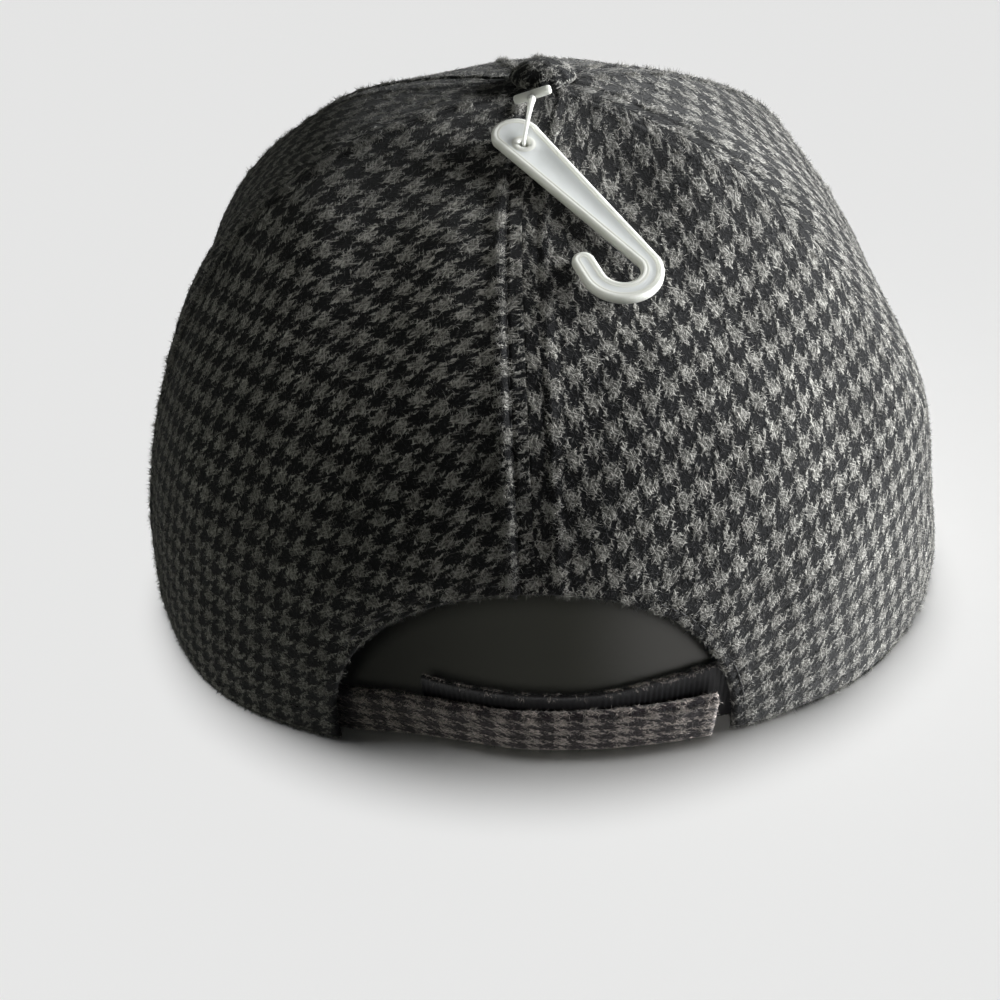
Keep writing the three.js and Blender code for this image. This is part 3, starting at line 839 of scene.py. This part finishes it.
def stitches(piece, line, normals, sunk=THREAD_SUNK):
    """A row of stitches along a line of points, each a short thread that dips into the cloth."""
    travelled = lengths_along(line) / MM
    count = int((travelled[-1] - 1) / STITCH_LENGTH)
    start = 0.5 + np.arange(count)[:, None] * STITCH_LENGTH
    share = np.array([0, 0.12, 0.5, 0.88, 1.0])
    rise = np.array([-0.35, -0.02, 0.1, -0.02, -0.35]) - sunk
    thick = np.array([0.5, 0.9, 1.0, 0.9, 0.5]) * THREAD_RADIUS
    reach = start + share * (STITCH_LENGTH - THREAD_GAP)
    centre = np.stack([np.interp(reach, travelled, line[:, axis]) for axis in range(3)], axis=-1)
    out = unit(np.stack([np.interp(reach, travelled, normals[:, axis]) for axis in range(3)], axis=-1))
    way = unit(np.gradient(centre, axis=1))
    side = unit(np.cross(out, way))
    centre = centre + out * (rise * MM)[None, :, None]
    angles = np.arange(6) * np.pi / 3
    ring = side[:, :, None] * np.cos(angles)[:, None] + out[:, :, None] * np.sin(angles)[:, None]
    points = centre[:, :, None] + ring * (thick * MM)[None, :, None, None]
    faces = []
    for station in range(4):
        for corner in range(6):
            after = (corner + 1) % 6
            low, high = station * 6, station * 6 + 6
            faces.append([low + corner, low + after, high + after, high + corner])
    sides = spread_faces(faces, count, 30)
    ends = spread_faces([[5, 4, 3, 2, 1, 0], [24, 25, 26, 27, 28, 29]], count, 30)
    piece.add(points, np.zeros(points.shape[:-1] + (2,)), [(THREAD_SLOT, sides), (THREAD_SLOT, ends)])


RIDGE_FUZZ = 34
RIDGE_FUZZ_BAND = (3.2, 4.2, 5.3)
RIDGE_FUZZ_LENGTH = (0.6, 1.6)
RIDGE_FUZZ_STEEPEST = 70
RIDGE_FUZZ_ON_DARK = 0.08
LIP_FUZZ = 7
LIP_FUZZ_STEEPEST = 75


def row_beside(fields, distance, wanted):
    """The line on a grid that keeps a wanted distance from a seam: its points, normals and places."""
    line = []
    for values, far in zip(fields, distance):
        order = np.argsort(far)
        if far.max() > 4 * STITCH_FROM_SEAM:
            line.append([np.interp(wanted, far[order], column) for column in values[order].T])
    return np.array(line)


arch_normals = crown_normal(arch_turns, np.maximum(arch_climbs, 0.003))
arch_ways = unit(np.gradient(arch_points, axis=0))
arch_hem = arch_points - np.cross(arch_ways, arch_normals) * HEM_STITCH_IN * MM


def build_panel(panel, seed):
    arched = 0 in (panel["start"], panel["end"])
    turns = panel_columns(panel, arched)
    base = np.zeros_like(turns)
    if arched:
        base = np.interp(turns, arch_turns[::-1], arch_climbs[::-1], left=0, right=0)
    table_climbs = np.linspace(0, PANEL_TOP, 240)
    near = np.array(NEAR_EDGE)
    shares = np.linspace(0, 1, UPPER_ROWS + 1)[1:]
    climb = np.empty((len(near) + len(shares), len(turns)))
    for column, turn in enumerate(turns):
        climbed = lengths_along(crown_point(turn, table_climbs)) / MM
        start = np.interp(base[column], table_climbs, climbed)
        upper = start + near[-1] + (climbed[-1] - start - near[-1]) * shares
        climb[:, column] = np.interp(np.concatenate([start + near, upper]), climbed, table_climbs)
    turn = np.broadcast_to(turns, climb.shape)
    points = crown_point(turn, climb)
    normals = crown_normal(turn, climb)
    x, y, from_start, from_end = flat_cloth(panel, turn, climb)
    relief = seam_relief(from_start, y, seed, panel["ridges"][0])
    relief += seam_relief(from_end, y, seed + 2.0, panel["ridges"][1])
    edge_fold = fold(y, EDGE_FOLD)
    relief -= edge_fold
    if arched:
        gap, along = distance_to_line(points.reshape(-1, 3), arch_points)
        gap, along = gap.reshape(climb.shape) / MM, along.reshape(climb.shape) / MM
        dimple = 0.65 + 0.35 * np.cos(2 * np.pi * along / STITCH_LENGTH)
        relief -= fold(gap, EDGE_FOLD)
        relief -= HEM_GROOVE[0] * dimple * swell(gap, HEM_STITCH_IN, HEM_GROOVE[1])
        relief += HEM_ROLL[0] * swell(gap, HEM_ROLL_IN, HEM_ROLL[1])
        edge_fold = np.maximum(edge_fold, fold(gap, EDGE_FOLD))
    sway = slack(points, SLACK_SEED)
    outer = points + normals * ((np.maximum(relief, -DEEPEST) + sway) * MM)[..., None]
    depth = np.minimum(edge_fold - WALL / MM, -DEEPEST - 0.1)
    inner = points + normals * ((depth + sway) * MM)[..., None]
    places = on_grain(panel, x, y)
    piece = Piece()
    outside, inside, walls = sheet_faces(*climb.shape)
    both = np.concatenate([outer.reshape(-1, 3), inner.reshape(-1, 3)])
    piece.add(both, np.tile(places.reshape(-1, 2), (2, 1)), [(0, outside), (1, inside), (0, walls)])
    nap(piece, outer, places, np.random.default_rng(seed), panel["nap"])
    rng = np.random.default_rng(seed + 50)
    fields = np.concatenate([outer, normals, places], axis=-1)
    for distance, ridge in zip((from_start, from_end), panel["ridges"]):
        row = row_beside(fields, distance, STITCH_FROM_SEAM)
        stitches(piece, row[:, :3], row[:, 3:6], sunk=0.3 - 0.4 * ridge)
        strip = np.stack([row_beside(fields, distance, far) for far in RIDGE_FUZZ_BAND], axis=1)
        if distance is from_end:
            strip = strip[:, ::-1]
        nap(piece, strip[..., :3], strip[..., 6:], rng, RIDGE_FUZZ * ridge, RIDGE_FUZZ_LENGTH,
            steepest=RIDGE_FUZZ_STEEPEST, on_dark=RIDGE_FUZZ_ON_DARK)
    if arched:
        inside = (arch_turns > panel["start"] + 1.5) & (arch_turns < panel["end"] - 1.5)
        stitches(piece, arch_hem[inside], arch_normals[inside], sunk=HEM_STITCH_SUNK)
        lip = fields[1:6:4][:, (base > 0) | (turns > turns[0])]
        nap(piece, lip[..., :3], lip[..., 6:], rng, LIP_FUZZ, RIDGE_FUZZ_LENGTH, steepest=LIP_FUZZ_STEEPEST)
    made = piece.finish(panel["name"] + "_cloth", [crown_cloth, cloth_inside, crown_fibre, thread])
    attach(made, "root")
    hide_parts(panel["name"])


for number, panel in enumerate(PANELS):
    build_panel(panel, number + 1)


# The button is a domed disc covered with a gathered round of the crown's cloth. Its stem goes through
# the hole where the panels meet, to a washer inside.
BUTTON_RADIUS = 6.8
BUTTON_DOME = 3.3
BUTTON_RIM = 1.3
BUTTON_LIFT = 0.3
BUTTON_STEM = 1.0
WASHER_RADIUS = 4.5
WASHER_TOP = -2.7
WASHER_THICKNESS = 0.8
BUTTON_GRAIN = 40
BUTTON_GRAIN_MIDDLE = (1.2, 4.2)
BUTTON_PLEATS = 13
BUTTON_PLEAT_DEPTH = 0.16
BUTTON_UNEVEN = 0.12
BUTTON_AROUND = 72
BUTTON_RINGS = [4, 16, 28, 40, 51, 61, 70, 78, 84, 90]
BUTTON_NAP = 2.5


def tube_faces(rows, around):
    """Faces of rows that each run round a closed loop, and the two loops that close the ends."""
    index = np.arange(rows * around).reshape(rows, around)
    after = np.roll(index, -1, axis=1)
    sides = np.stack([index[:-1], after[:-1], after[1:], index[1:]], -1).reshape(-1, 4)
    return sides, index[:1, ::-1], index[-1:]


def build_button():
    middle = crown_point(0.0, 1.0)
    angle = np.linspace(0, 2 * np.pi, BUTTON_AROUND, endpoint=False)
    rim = BUTTON_LIFT + BUTTON_RIM
    share = np.radians(np.array(BUTTON_RINGS))
    dome = np.stack([BUTTON_RADIUS * np.sin(share), rim + BUTTON_DOME * np.cos(share) ** 1.25], axis=1)
    under = [(6.7, rim - 0.5), (6.3, BUTTON_LIFT + 0.3), (5.7, BUTTON_LIFT), (4.4, BUTTON_LIFT + 0.05),
             (3.2, BUTTON_LIFT + 0.4), (1.2, BUTTON_LIFT + 0.7)]
    profile = np.concatenate([dome, under])
    radius, height = profile.T
    pleats = BUTTON_PLEAT_DEPTH * np.clip((radius - 3) / 3, 0, 1)[:, None]
    wave = np.cos(BUTTON_PLEATS * angle + 0.6 * np.sin(3 * angle)) * pleats
    spread = radius[:, None] + wave
    x, y = spread * np.cos(angle), spread * np.sin(angle)
    z = height[:, None] + BUTTON_UNEVEN * np.sin(angle * 2 + 0.7) * (radius / BUTTON_RADIUS)[:, None]
    points = np.stack([x, y, np.broadcast_to(z, x.shape)], axis=-1) * MM + middle
    reach = np.concatenate([[0], np.cumsum(np.hypot(np.diff(radius), np.diff(height)))]) + 0.5
    grain = angle + math.radians(BUTTON_GRAIN)
    places = np.stack([reach[:, None] * np.cos(grain), reach[:, None] * np.sin(grain)], -1)
    places = places + BUTTON_GRAIN_MIDDLE
    points, places = points[:, ::-1], places[:, ::-1]
    points = np.concatenate([points, points[:, :1]], axis=1)
    places = np.concatenate([places, places[:, :1]], axis=1)
    piece = Piece()
    rows, columns = points.shape[:2]
    index = np.arange(rows * columns).reshape(rows, columns)
    faces = np.stack([index[1:, :-1], index[1:, 1:], index[:-1, 1:], index[:-1, :-1]], -1).reshape(-1, 4)
    piece.add(points, places, [(0, faces), (0, index[:1, :-1]), (0, index[-1:, :-1][:, ::-1])])
    shown = len(BUTTON_RINGS) + 2
    nap(piece, points[:shown][::-1], places[:shown][::-1], np.random.default_rng(41), BUTTON_NAP)
    stem = [(BUTTON_STEM, BUTTON_LIFT + 0.9), (BUTTON_STEM, WASHER_TOP), (WASHER_RADIUS, WASHER_TOP),
            (WASHER_RADIUS, WASHER_TOP - WASHER_THICKNESS)]
    radius, height = np.array(stem).T
    shape = (len(stem), BUTTON_AROUND)
    ring = np.stack([radius[:, None] * np.cos(-angle), radius[:, None] * np.sin(-angle),
                     np.broadcast_to(height[:, None], shape)], axis=-1) * MM + middle
    walls, first, last = tube_faces(*shape)
    piece.add(ring, np.zeros((*shape, 2)), [(1, walls), (1, first), (1, last)])
    made = piece.finish("top_button_cloth", [crown_cloth, cloth_inside, crown_fibre], weld=True)
    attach(made, "root")
    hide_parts("top_button")


build_button()


def smooth_rows(rows, steps):
    """Rows of numbers, drawn out to more rows on a smooth curve through them."""
    rows = np.array(rows, float)
    padded = np.concatenate([[2 * rows[0] - rows[1]], rows, [2 * rows[-1] - rows[-2]]])
    share = np.linspace(0, len(rows) - 1, steps)
    first = np.minimum(share.astype(int), len(rows) - 2)
    t = (share - first)[:, None]
    a, b, c, d = (padded[first + k] for k in range(4))
    return ((2 * b) + (c - a) * t + (2 * a - 5 * b + 4 * c - d) * t**2 + (3 * b - 3 * c + d - a) * t**3) / 2


# The peak is a curved board covered with the crown's cloth on both faces, with rows of stitches that
# follow its edge. It is sewn to the front of the rim.
PEAK_THICKNESS = 3.5
PEAK_SPLAY = 0.35
PEAK_SAG = 1.25
PEAK_GAP = 0.3
PEAK_SECTIONS = [(0, 73, 14), (15, 70, 12.5), (30, 60, 7.5), (42, 43, 2.2), (51, 26, 0), (58, 12, 2.8),
                 (64, 2.5, 7.4)]
PEAK_COLUMNS = [1.9, 2.5, 3.1, 3.5, 3.9, 4.6, 5.6, 6.8, 8.2, 9.6, 10.6, 11, 11.4, 12.4, 14, 16, 17.6, 18.1,
                18.5, 18.9, 19.8, 21.6, 23.6, 25.2, 26, 26.8, 29, 32, 36, 40, 45, 50, 55, 60, 65, 70, 73]
PEAK_STITCH_ROWS = [3.5, 11, 18.5, 26]
PEAK_GROOVE_DEPTH = 0.3
PEAK_GROOVE_WIDTH = 0.5
PEAK_LEVEL_FROM = (0.2, 1.0)
PEAK_UNDERSIDE_CHECK = 200
PEAK_NAP = 0.8
PEAK_CLOSE = 1.5
NEVER_ZERO = 1e-9


def peak_point(around, reach, edge, out, lift):
    """Points of the peak. out runs from 0 at the crown to 1 at the peak's edge."""
    turn = 180 - around
    climb = climb_at(lift * MM)
    root = crown_point(turn, climb) + level_normal(turn, climb_at((lift + 1) * MM)) * PEAK_GAP * MM
    heading = np.radians(around * PEAK_SPLAY)
    drop = np.clip(out, 0, 1) ** PEAK_SAG
    x = root[..., 0] + reach * out * np.sin(heading) * MM
    y = root[..., 1] - reach * out * np.cos(heading) * MM
    z = root[..., 2] * (1 - drop) + (np.maximum(edge, 0) + lift) * drop * MM
    return np.stack([x, y, z], axis=-1)


def build_peak():
    half = smooth_rows(PEAK_SECTIONS, 61)
    section = np.concatenate([half[:0:-1] * (-1, 1, 1), half])
    around, reach, edge = section.T[:, :, None]
    deep = PEAK_THICKNESS / 2
    near = np.array(PEAK_COLUMNS)
    turn_under = np.linspace(90, -90, 11)
    distance = np.concatenate([near[::-1], deep * (1 - np.cos(np.radians(turn_under))), near])
    lift = np.concatenate([np.full(len(near), 2 * deep), deep * (1 + np.sin(np.radians(turn_under))),
                           np.zeros(len(near))])
    limit = reach - np.minimum(PEAK_CLOSE, reach / 4)
    beyond = np.maximum(distance - limit, 0) / (distance.max() - limit)
    inward = np.minimum(distance, limit) + (reach - limit) * beyond
    out = 1 - np.minimum(inward / reach, 1)
    lift = np.broadcast_to(lift, out.shape)
    points = peak_point(around, reach, edge, out, lift)
    normal = unit(np.cross(np.gradient(points, axis=0) + NEVER_ZERO, np.gradient(points, axis=1)))
    groove = sum(swell(distance, row, PEAK_GROOVE_WIDTH) for row in PEAK_STITCH_ROWS)
    top = lift > deep
    level = (distance > PEAK_LEVEL_FROM[0]) & (distance < reach - PEAK_LEVEL_FROM[1])
    sunk = PEAK_GROOVE_DEPTH * groove * level
    points[..., 2] += np.where(top, -sunk, sunk) * MM
    x = points[..., 0] / MM
    y = -(reach - inward + np.where(top, 0, PEAK_UNDERSIDE_CHECK))
    places = np.stack([x, y], axis=-1)
    piece = Piece()
    sides, first, last = tube_faces(*out.shape)
    piece.add(points, places, [(0, sides), (0, first), (0, last)])
    over = len(near) + len(turn_under)
    nap(piece, points[::-1, :over], places[::-1, :over], np.random.default_rng(51), PEAK_NAP)
    for row in PEAK_STITCH_ROWS:
        across = reach[:, 0] > row + 2
        beside = int(np.argmin(np.abs(near - row)))
        for column in (len(near) - 1 - beside, over + beside):
            stitches(piece, points[across, column], -normal[across, column])
    made = piece.finish("peak_cloth", [crown_cloth, cloth_inside, crown_fibre, thread])
    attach(made, "root")
    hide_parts("peak")


build_peak()


# The upper strap is a folded band of the check cloth. It is sewn inside the left side of the opening and
# its cut end is free on the right.
STRAP_LOWER_EDGE = 0.4
STRAP_THICKNESS = 2.0
STRAP_ROWS = [(-20.5, -0.8, 13.6), (-14, -0.9, 13.9), (-6, -0.9, 14.1), (3, 0, 14.1), (11, 2.6, 14.1),
              (18, 3.9, 14.4), (25, 3.2, 14.6), (33, 2.4, 14.8)]
# The strap's colours are the crown cloth's painted lighter, the dark yarn most: painted light, with a
# slight reddish tint.
STRAP_TINT_AND_PAINTED_LIGHT = (1.4, 1.25, 1.24)
STRAP_DARK_TINT_AND_PAINTED_LIGHT = (4.2, 3.4, 3.4)
STRAP_STEPS = 90
STRAP_ACROSS = 16
STRAP_ROUNDING = 0.07
STRAP_NAP = 3.0
STRAP_EDGE_FUZZ = 16.0
BAND_TURNS = np.radians(np.linspace(-90, 90, 9)[1:-1])
BAND_CHECK = 1.2
# The strap's cloth and fibres are lit copies of the crown's, with painted light.
strap_cloth = cloth_material("strap_cloth", STRAP_TINT_AND_PAINTED_LIGHT, STRAP_DARK_TINT_AND_PAINTED_LIGHT)
strap_fibre_painted_lighter = fibre_material("strap_fibre_painted_lighter", STRAP_TINT_AND_PAINTED_LIGHT)


def band_points(rows, lower_edge, thickness, steps, across, round_over):
    """Loops round a band that stands on edge: its outer face from below, the top edge, the inner face
    and the lower edge. The loops come with how far round each point is and its flat place."""
    turn, inset, upper = smooth_rows(rows, steps).T[:, :, None]
    half = thickness / 2
    up = np.linspace(round_over, 1 - round_over, across)
    edge = np.ones(len(BAND_TURNS))
    straight = np.zeros(across)
    level = np.concatenate([up, edge * (1 - round_over), up[::-1], edge * round_over])
    bulge = np.concatenate([straight, np.cos(BAND_TURNS), straight, -np.cos(BAND_TURNS)])
    depth = np.concatenate([straight, half * (1 + np.sin(BAND_TURNS)), straight + thickness,
                            half * (1 - np.sin(BAND_TURNS))])
    height = lower_edge + (upper - lower_edge) * level + bulge * half
    climb = climb_at(height * MM)
    turns = np.broadcast_to(turn, height.shape)
    out = level_normal(turns, climb)
    face = crown_point(turns, climb)
    points = face - out * ((inset + depth) * MM)[..., None]
    length = lengths_along(face[:, across // 2]) / MM
    short_way = (height + depth) * BAND_CHECK
    places = np.stack([short_way, np.broadcast_to(length[:, None], height.shape)], axis=-1)
    return points, places, out


def build_upper_strap():
    across = STRAP_ACROSS
    points, places, _ = band_points(STRAP_ROWS, STRAP_LOWER_EDGE, STRAP_THICKNESS, STRAP_STEPS, across,
                                    STRAP_ROUNDING)
    piece = Piece()
    sides, first, last = tube_faces(*points.shape[:2])
    piece.add(points, places, [(0, sides[:, ::-1]), (0, first[:, ::-1]), (0, last[:, ::-1])])
    rng = np.random.default_rng(61)
    shown = slice(0, across + len(BAND_TURNS))
    nap(piece, points[::-1, shown], places[::-1, shown], rng, STRAP_NAP, slot=1)
    top = slice(across - 2, across + 3)
    nap(piece, points[::-1, top], places[::-1, top], rng, STRAP_EDGE_FUZZ, RIDGE_FUZZ_LENGTH, slot=1,
        steepest=LIP_FUZZ_STEEPEST)
    made = piece.finish("upper_strap_cloth", [strap_cloth, strap_fibre_painted_lighter], weld=True)
    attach(made, "root")
    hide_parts("upper_strap")


build_upper_strap()


# The under strap is a black ribbed tape. It is sewn inside the right side of the opening and runs behind
# the upper strap.
TAPE_LOWER_EDGE = 1.4
TAPE_THICKNESS = 1.4
TAPE_ROWS = [(-33, 2.5, 20.2), (-22, 2.9, 20), (-15, 2.4, 19), (-6, 1.8, 17.2), (3, 2.9, 17.2),
             (10, 5, 17.6), (15, 6.7, 18.2)]
TAPE_STEPS = 260
TAPE_ACROSS = 12
TAPE_ROUNDING = 0.06
TAPE_RIB = 1.1
TAPE_RIB_HEIGHT = 0.11
TAPE_FUZZ = 16.0
TAPE_FUZZ_LENGTH = (0.4, 1.0)
TAPE_FUZZ_STEEPEST = 60
TAPE_COLOUR = (0.011, 0.011, 0.0125)
tape_material, _, _ = new_material("strap_tape", 0.6, Base_Color=rgba(TAPE_COLOUR))


def build_under_strap():
    across = TAPE_ACROSS
    points, places, out = band_points(TAPE_ROWS, TAPE_LOWER_EDGE, TAPE_THICKNESS, TAPE_STEPS, across,
                                      TAPE_ROUNDING)
    rib = TAPE_RIB_HEIGHT * np.cos(2 * np.pi * places[..., 1] / TAPE_RIB)
    points = points + out * (rib * MM)[..., None]
    piece = Piece()
    sides, first, last = tube_faces(*points.shape[:2])
    piece.add(points, places, [(0, sides[:, ::-1]), (0, first[:, ::-1]), (0, last[:, ::-1])])
    top = slice(across - 1, across + len(BAND_TURNS) + 1)
    nap(piece, points[::-1, top], places[::-1, top], np.random.default_rng(71), TAPE_FUZZ, TAPE_FUZZ_LENGTH,
        slot=1, steepest=TAPE_FUZZ_STEEPEST)
    made = piece.finish("under_strap_tape", [tape_material, strap_fibre_painted_lighter], weld=True)
    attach(made, "root")
    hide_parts("under_strap")


build_under_strap()


# The display hook is moulded from clear milky plastic, flat, with a raised border, a ring round its hole
# and rounded edges. It lies on the right back panel.
HOOK_THICKNESS = 1.7
HOOK_FLOOR = 1.56
HOOK_HOLE = 0.95
HOOK_HEAD = {"along": -2.8, "across": -0.2, "radius": 4.8}
HOOK_BEND = {"along": 35.6, "across": 3.1, "inner": 3.4, "outer": 7.5}
HOOK_TIP = 4.1
HOOK_TURN = -12.6
HOOK_LEVEL = 97.4
HOOK_REST = (15.2, 3.3)
HOOK_HEADING = -22.9
HOOK_GAP = 0.3
HOOK_PROFILE = [(1.5, 0.0), (0.4, 0.0), (0.12, 0.12), (0, 0.4), (0, 1.15), (0.08, 1.4), (0.25, 1.6),
                (0.45, 1.68), (0.62, HOOK_THICKNESS), (0.8, 1.66), (0.93, 1.6), (1.05, 1.58), (1.15, 1.6),
                (1.28, 1.61), (1.4, 1.59), (1.5, HOOK_FLOOR)]
HOOK_EYE = [(2.3, HOOK_FLOOR), (2.15, 1.6), (1.95, HOOK_THICKNESS), (1.3, HOOK_THICKNESS), (HOOK_HOLE, 1.5),
            (HOOK_HOLE, 0.2), (1.15, 0.0)]
HOOK_AROUND = 420
PLASTIC_COLOUR = (0.71, 0.715, 0.665)
# The web's colour is a little lighter and cooler than the border's; its lightness is painted light against
# the border's and pin's shade.
WEB_COLOUR_PAINTED_LIGHTER = (0.71, 0.73, 0.725)
PLASTIC_SCATTER = 3.0 * MM


def milky(name, colour):
    material, _, _ = new_material(name, 0.42, Base_Color=rgba(colour), Subsurface_Weight=0.8,
                                  Subsurface_Radius=(1.0, 1.0, 1.0), Subsurface_Scale=PLASTIC_SCATTER)
    return material


plastic = milky("hook_plastic", PLASTIC_COLOUR)
# The web's plastic is the border's painted a little lighter, and cooler: painted light.
web_plastic_painted_lighter = milky("hook_web_plastic", WEB_COLOUR_PAINTED_LIGHTER)


def arc(along, across, radius, start, end):
    angle = np.radians(np.linspace(start, end, int(abs(end - start) * radius / 22) + 6))
    return np.stack([along + radius * np.cos(angle), across + radius * np.sin(angle)], axis=1)


def hook_outline():
    """The hook's outline in its own frame, in millimetres: along it, and across."""
    bend = HOOK_BEND
    tip_radius = (bend["outer"] - bend["inner"]) / 2
    tip_across = bend["across"] - bend["inner"] - tip_radius
    line = np.concatenate([
        arc(HOOK_HEAD["along"], HOOK_HEAD["across"], HOOK_HEAD["radius"], 90, 270),
        arc(bend["along"], bend["across"], bend["inner"], 90, -90),
        arc(bend["along"] - HOOK_TIP, tip_across, tip_radius, 90, 270),
        arc(bend["along"], bend["across"], bend["outer"], -90, 90),
    ])
    closed = np.concatenate([line, line[:1]])
    travelled = lengths_along(closed)
    at = np.linspace(0, travelled[-1], HOOK_AROUND, endpoint=False)
    return np.stack([np.interp(at, travelled, closed[:, axis]) for axis in range(2)], axis=1)


def hook_frame():
    """Where the hook's hole lies, and its directions: along it, across it and up from the cloth."""
    climb = climb_at(HOOK_LEVEL * MM)
    normal = crown_normal(np.array(float(HOOK_TURN)), np.array(climb))
    heading = math.radians(HOOK_HEADING)
    along = np.array([math.sin(heading), math.cos(heading), 0.0])
    along = unit(along - normal * (along @ normal))
    across = np.cross(normal, along)
    origin = crown_point(HOOK_TURN, climb) + normal * HOOK_GAP * MM
    origin = origin - (along * HOOK_REST[0] + across * HOOK_REST[1]) * MM
    return origin, np.array([along, across, normal])


hook_origin, hook_axes = hook_frame()


def in_hook_frame(points):
    return hook_origin + (np.asarray(points) * MM) @ hook_axes


def filled(outline, hole, height, flip):
    """Triangles between a closed line and a hole in it. They face upward, or downward if flipped."""
    mesh = bmesh.new()
    edges = []
    for loop in (outline, hole):
        corners = [mesh.verts.new((x, y, height)) for x, y in loop]
        edges += [mesh.edges.new((corners[k - 1], corners[k])) for k in range(len(corners))]
    bmesh.ops.triangle_fill(mesh, use_beauty=True, edges=edges)
    mesh.verts.index_update()
    points = np.array([corner.co for corner in mesh.verts])
    faces = np.array([[corner.index for corner in face.verts] for face in mesh.faces])
    first, second, third = (points[faces[:, corner]] for corner in range(3))
    upward = np.cross(second - first, third - first)[:, 2] > 0
    faces[upward == flip] = faces[upward == flip][:, ::-1]
    mesh.free()
    return points, faces


def build_hook():
    outline = hook_outline()
    way = unit(np.roll(outline, -1, axis=0) - np.roll(outline, 1, axis=0))
    inward = np.stack([-way[:, 1], way[:, 0]], axis=1)
    inward = unit(inward + np.roll(inward, 2, axis=0) + np.roll(inward, -2, axis=0))
    rings = np.array([[(*point, height) for point in outline + inward * inset]
                      for inset, height in HOOK_PROFILE])
    sides, _, _ = tube_faces(*rings.shape[:2])
    piece = Piece()
    piece.add(in_hook_frame(rings), rings[..., :2], [(0, sides)])
    angle = np.linspace(0, 2 * np.pi, 48, endpoint=False)
    circle = np.stack([np.cos(angle), np.sin(angle)], axis=1)
    ring = np.array([[(*point, height) for point in circle * radius] for radius, height in HOOK_EYE])
    sides, _, _ = tube_faces(*ring.shape[:2])
    piece.add(in_hook_frame(ring), ring[..., :2], [(0, sides)])
    for (inset, height), (hole, _), slot in ((HOOK_PROFILE[-1], HOOK_EYE[0], 1),
                                             (HOOK_PROFILE[0], HOOK_EYE[-1], 0)):
        points, faces = filled(outline + inward * inset, circle * hole, height, slot == 0)
        piece.add(in_hook_frame(points), points[:, :2], [(slot, faces)])
    made = piece.finish("display_hook_plastic", [plastic, web_plastic_painted_lighter], weld=True)
    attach(made, "root")
    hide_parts("display_hook")


build_hook()


# The pin is one nylon moulding: a crossbar above the hook, and a thread that narrows from the bar to the
# hole and goes through it to the cloth.
PIN_BAR = {"length": 7.4, "radius": 0.9, "tilt": 14.8}
PIN_BAR_FROM_HOLE = (-2.0, -8.5, 6.3)
PIN_BAR_SHARES = [-1, -0.97, -0.9, -0.8, 0, 0.8, 0.9, 0.97, 1]
PIN_BAR_ROUNDING = [0.5, 0.8, 0.95, 1, 1, 1, 0.95, 0.8, 0.5]
PIN_THREAD = 0.34
PIN_NECK = [(0, 0.5), (0.1, 0.85), (0.2, 0.64), (0.4, 0.47), (0.7, 0.39), (0.93, PIN_THREAD)]
PIN_BEND = 0.9
PIN_END = -1.0


def round_rod(points, radii, around=16):
    """A rod along a line of points, with rounded ends."""
    points = np.array(points)
    way = unit(np.gradient(points, axis=0))
    side = unit(np.cross(way, (0.3, 0.2, 1.0)))
    up = np.cross(side, way)
    angle = np.linspace(0, 2 * np.pi, around, endpoint=False)[:, None]
    ring = side[:, None] * np.cos(angle) + up[:, None] * np.sin(angle)
    return points[:, None] + ring * (np.array(radii) * MM)[:, None, None]


def build_pin():
    mouth = in_hook_frame((0, 0, HOOK_THICKNESS))
    bar = mouth + np.array(PIN_BAR_FROM_HOLE) * MM
    turn_in = in_hook_frame((0, 0, HOOK_THICKNESS + PIN_BEND))
    stations = [bar + (turn_in - bar) * share for share, _ in PIN_NECK]
    radii = [radius for _, radius in PIN_NECK]
    for height in (HOOK_THICKNESS + PIN_BEND / 2, HOOK_THICKNESS / 2, 0, PIN_END):
        stations.append(in_hook_frame((0, 0, height)))
        radii.append(PIN_THREAD)
    tilt = math.radians(PIN_BAR["tilt"])
    way = np.array([math.cos(tilt), 0, -math.sin(tilt)])
    half = PIN_BAR["length"] / 2
    bar_line = bar + way * (np.array(PIN_BAR_SHARES) * half * MM)[:, None]
    bar_radii = PIN_BAR["radius"] * np.array(PIN_BAR_ROUNDING)
    piece = Piece()
    for points in (round_rod(stations, radii), round_rod(bar_line, bar_radii)):
        sides, first, last = tube_faces(*points.shape[:2])
        piece.add(points, np.zeros(points.shape[:2] + (2,)), [(0, sides), (0, first), (0, last)])
    made = piece.finish("hook_pin_plastic", [plastic], weld=True)
    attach(made, "root")
    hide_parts("hook_pin")


build_pin()


bpy.context.view_layer.update()
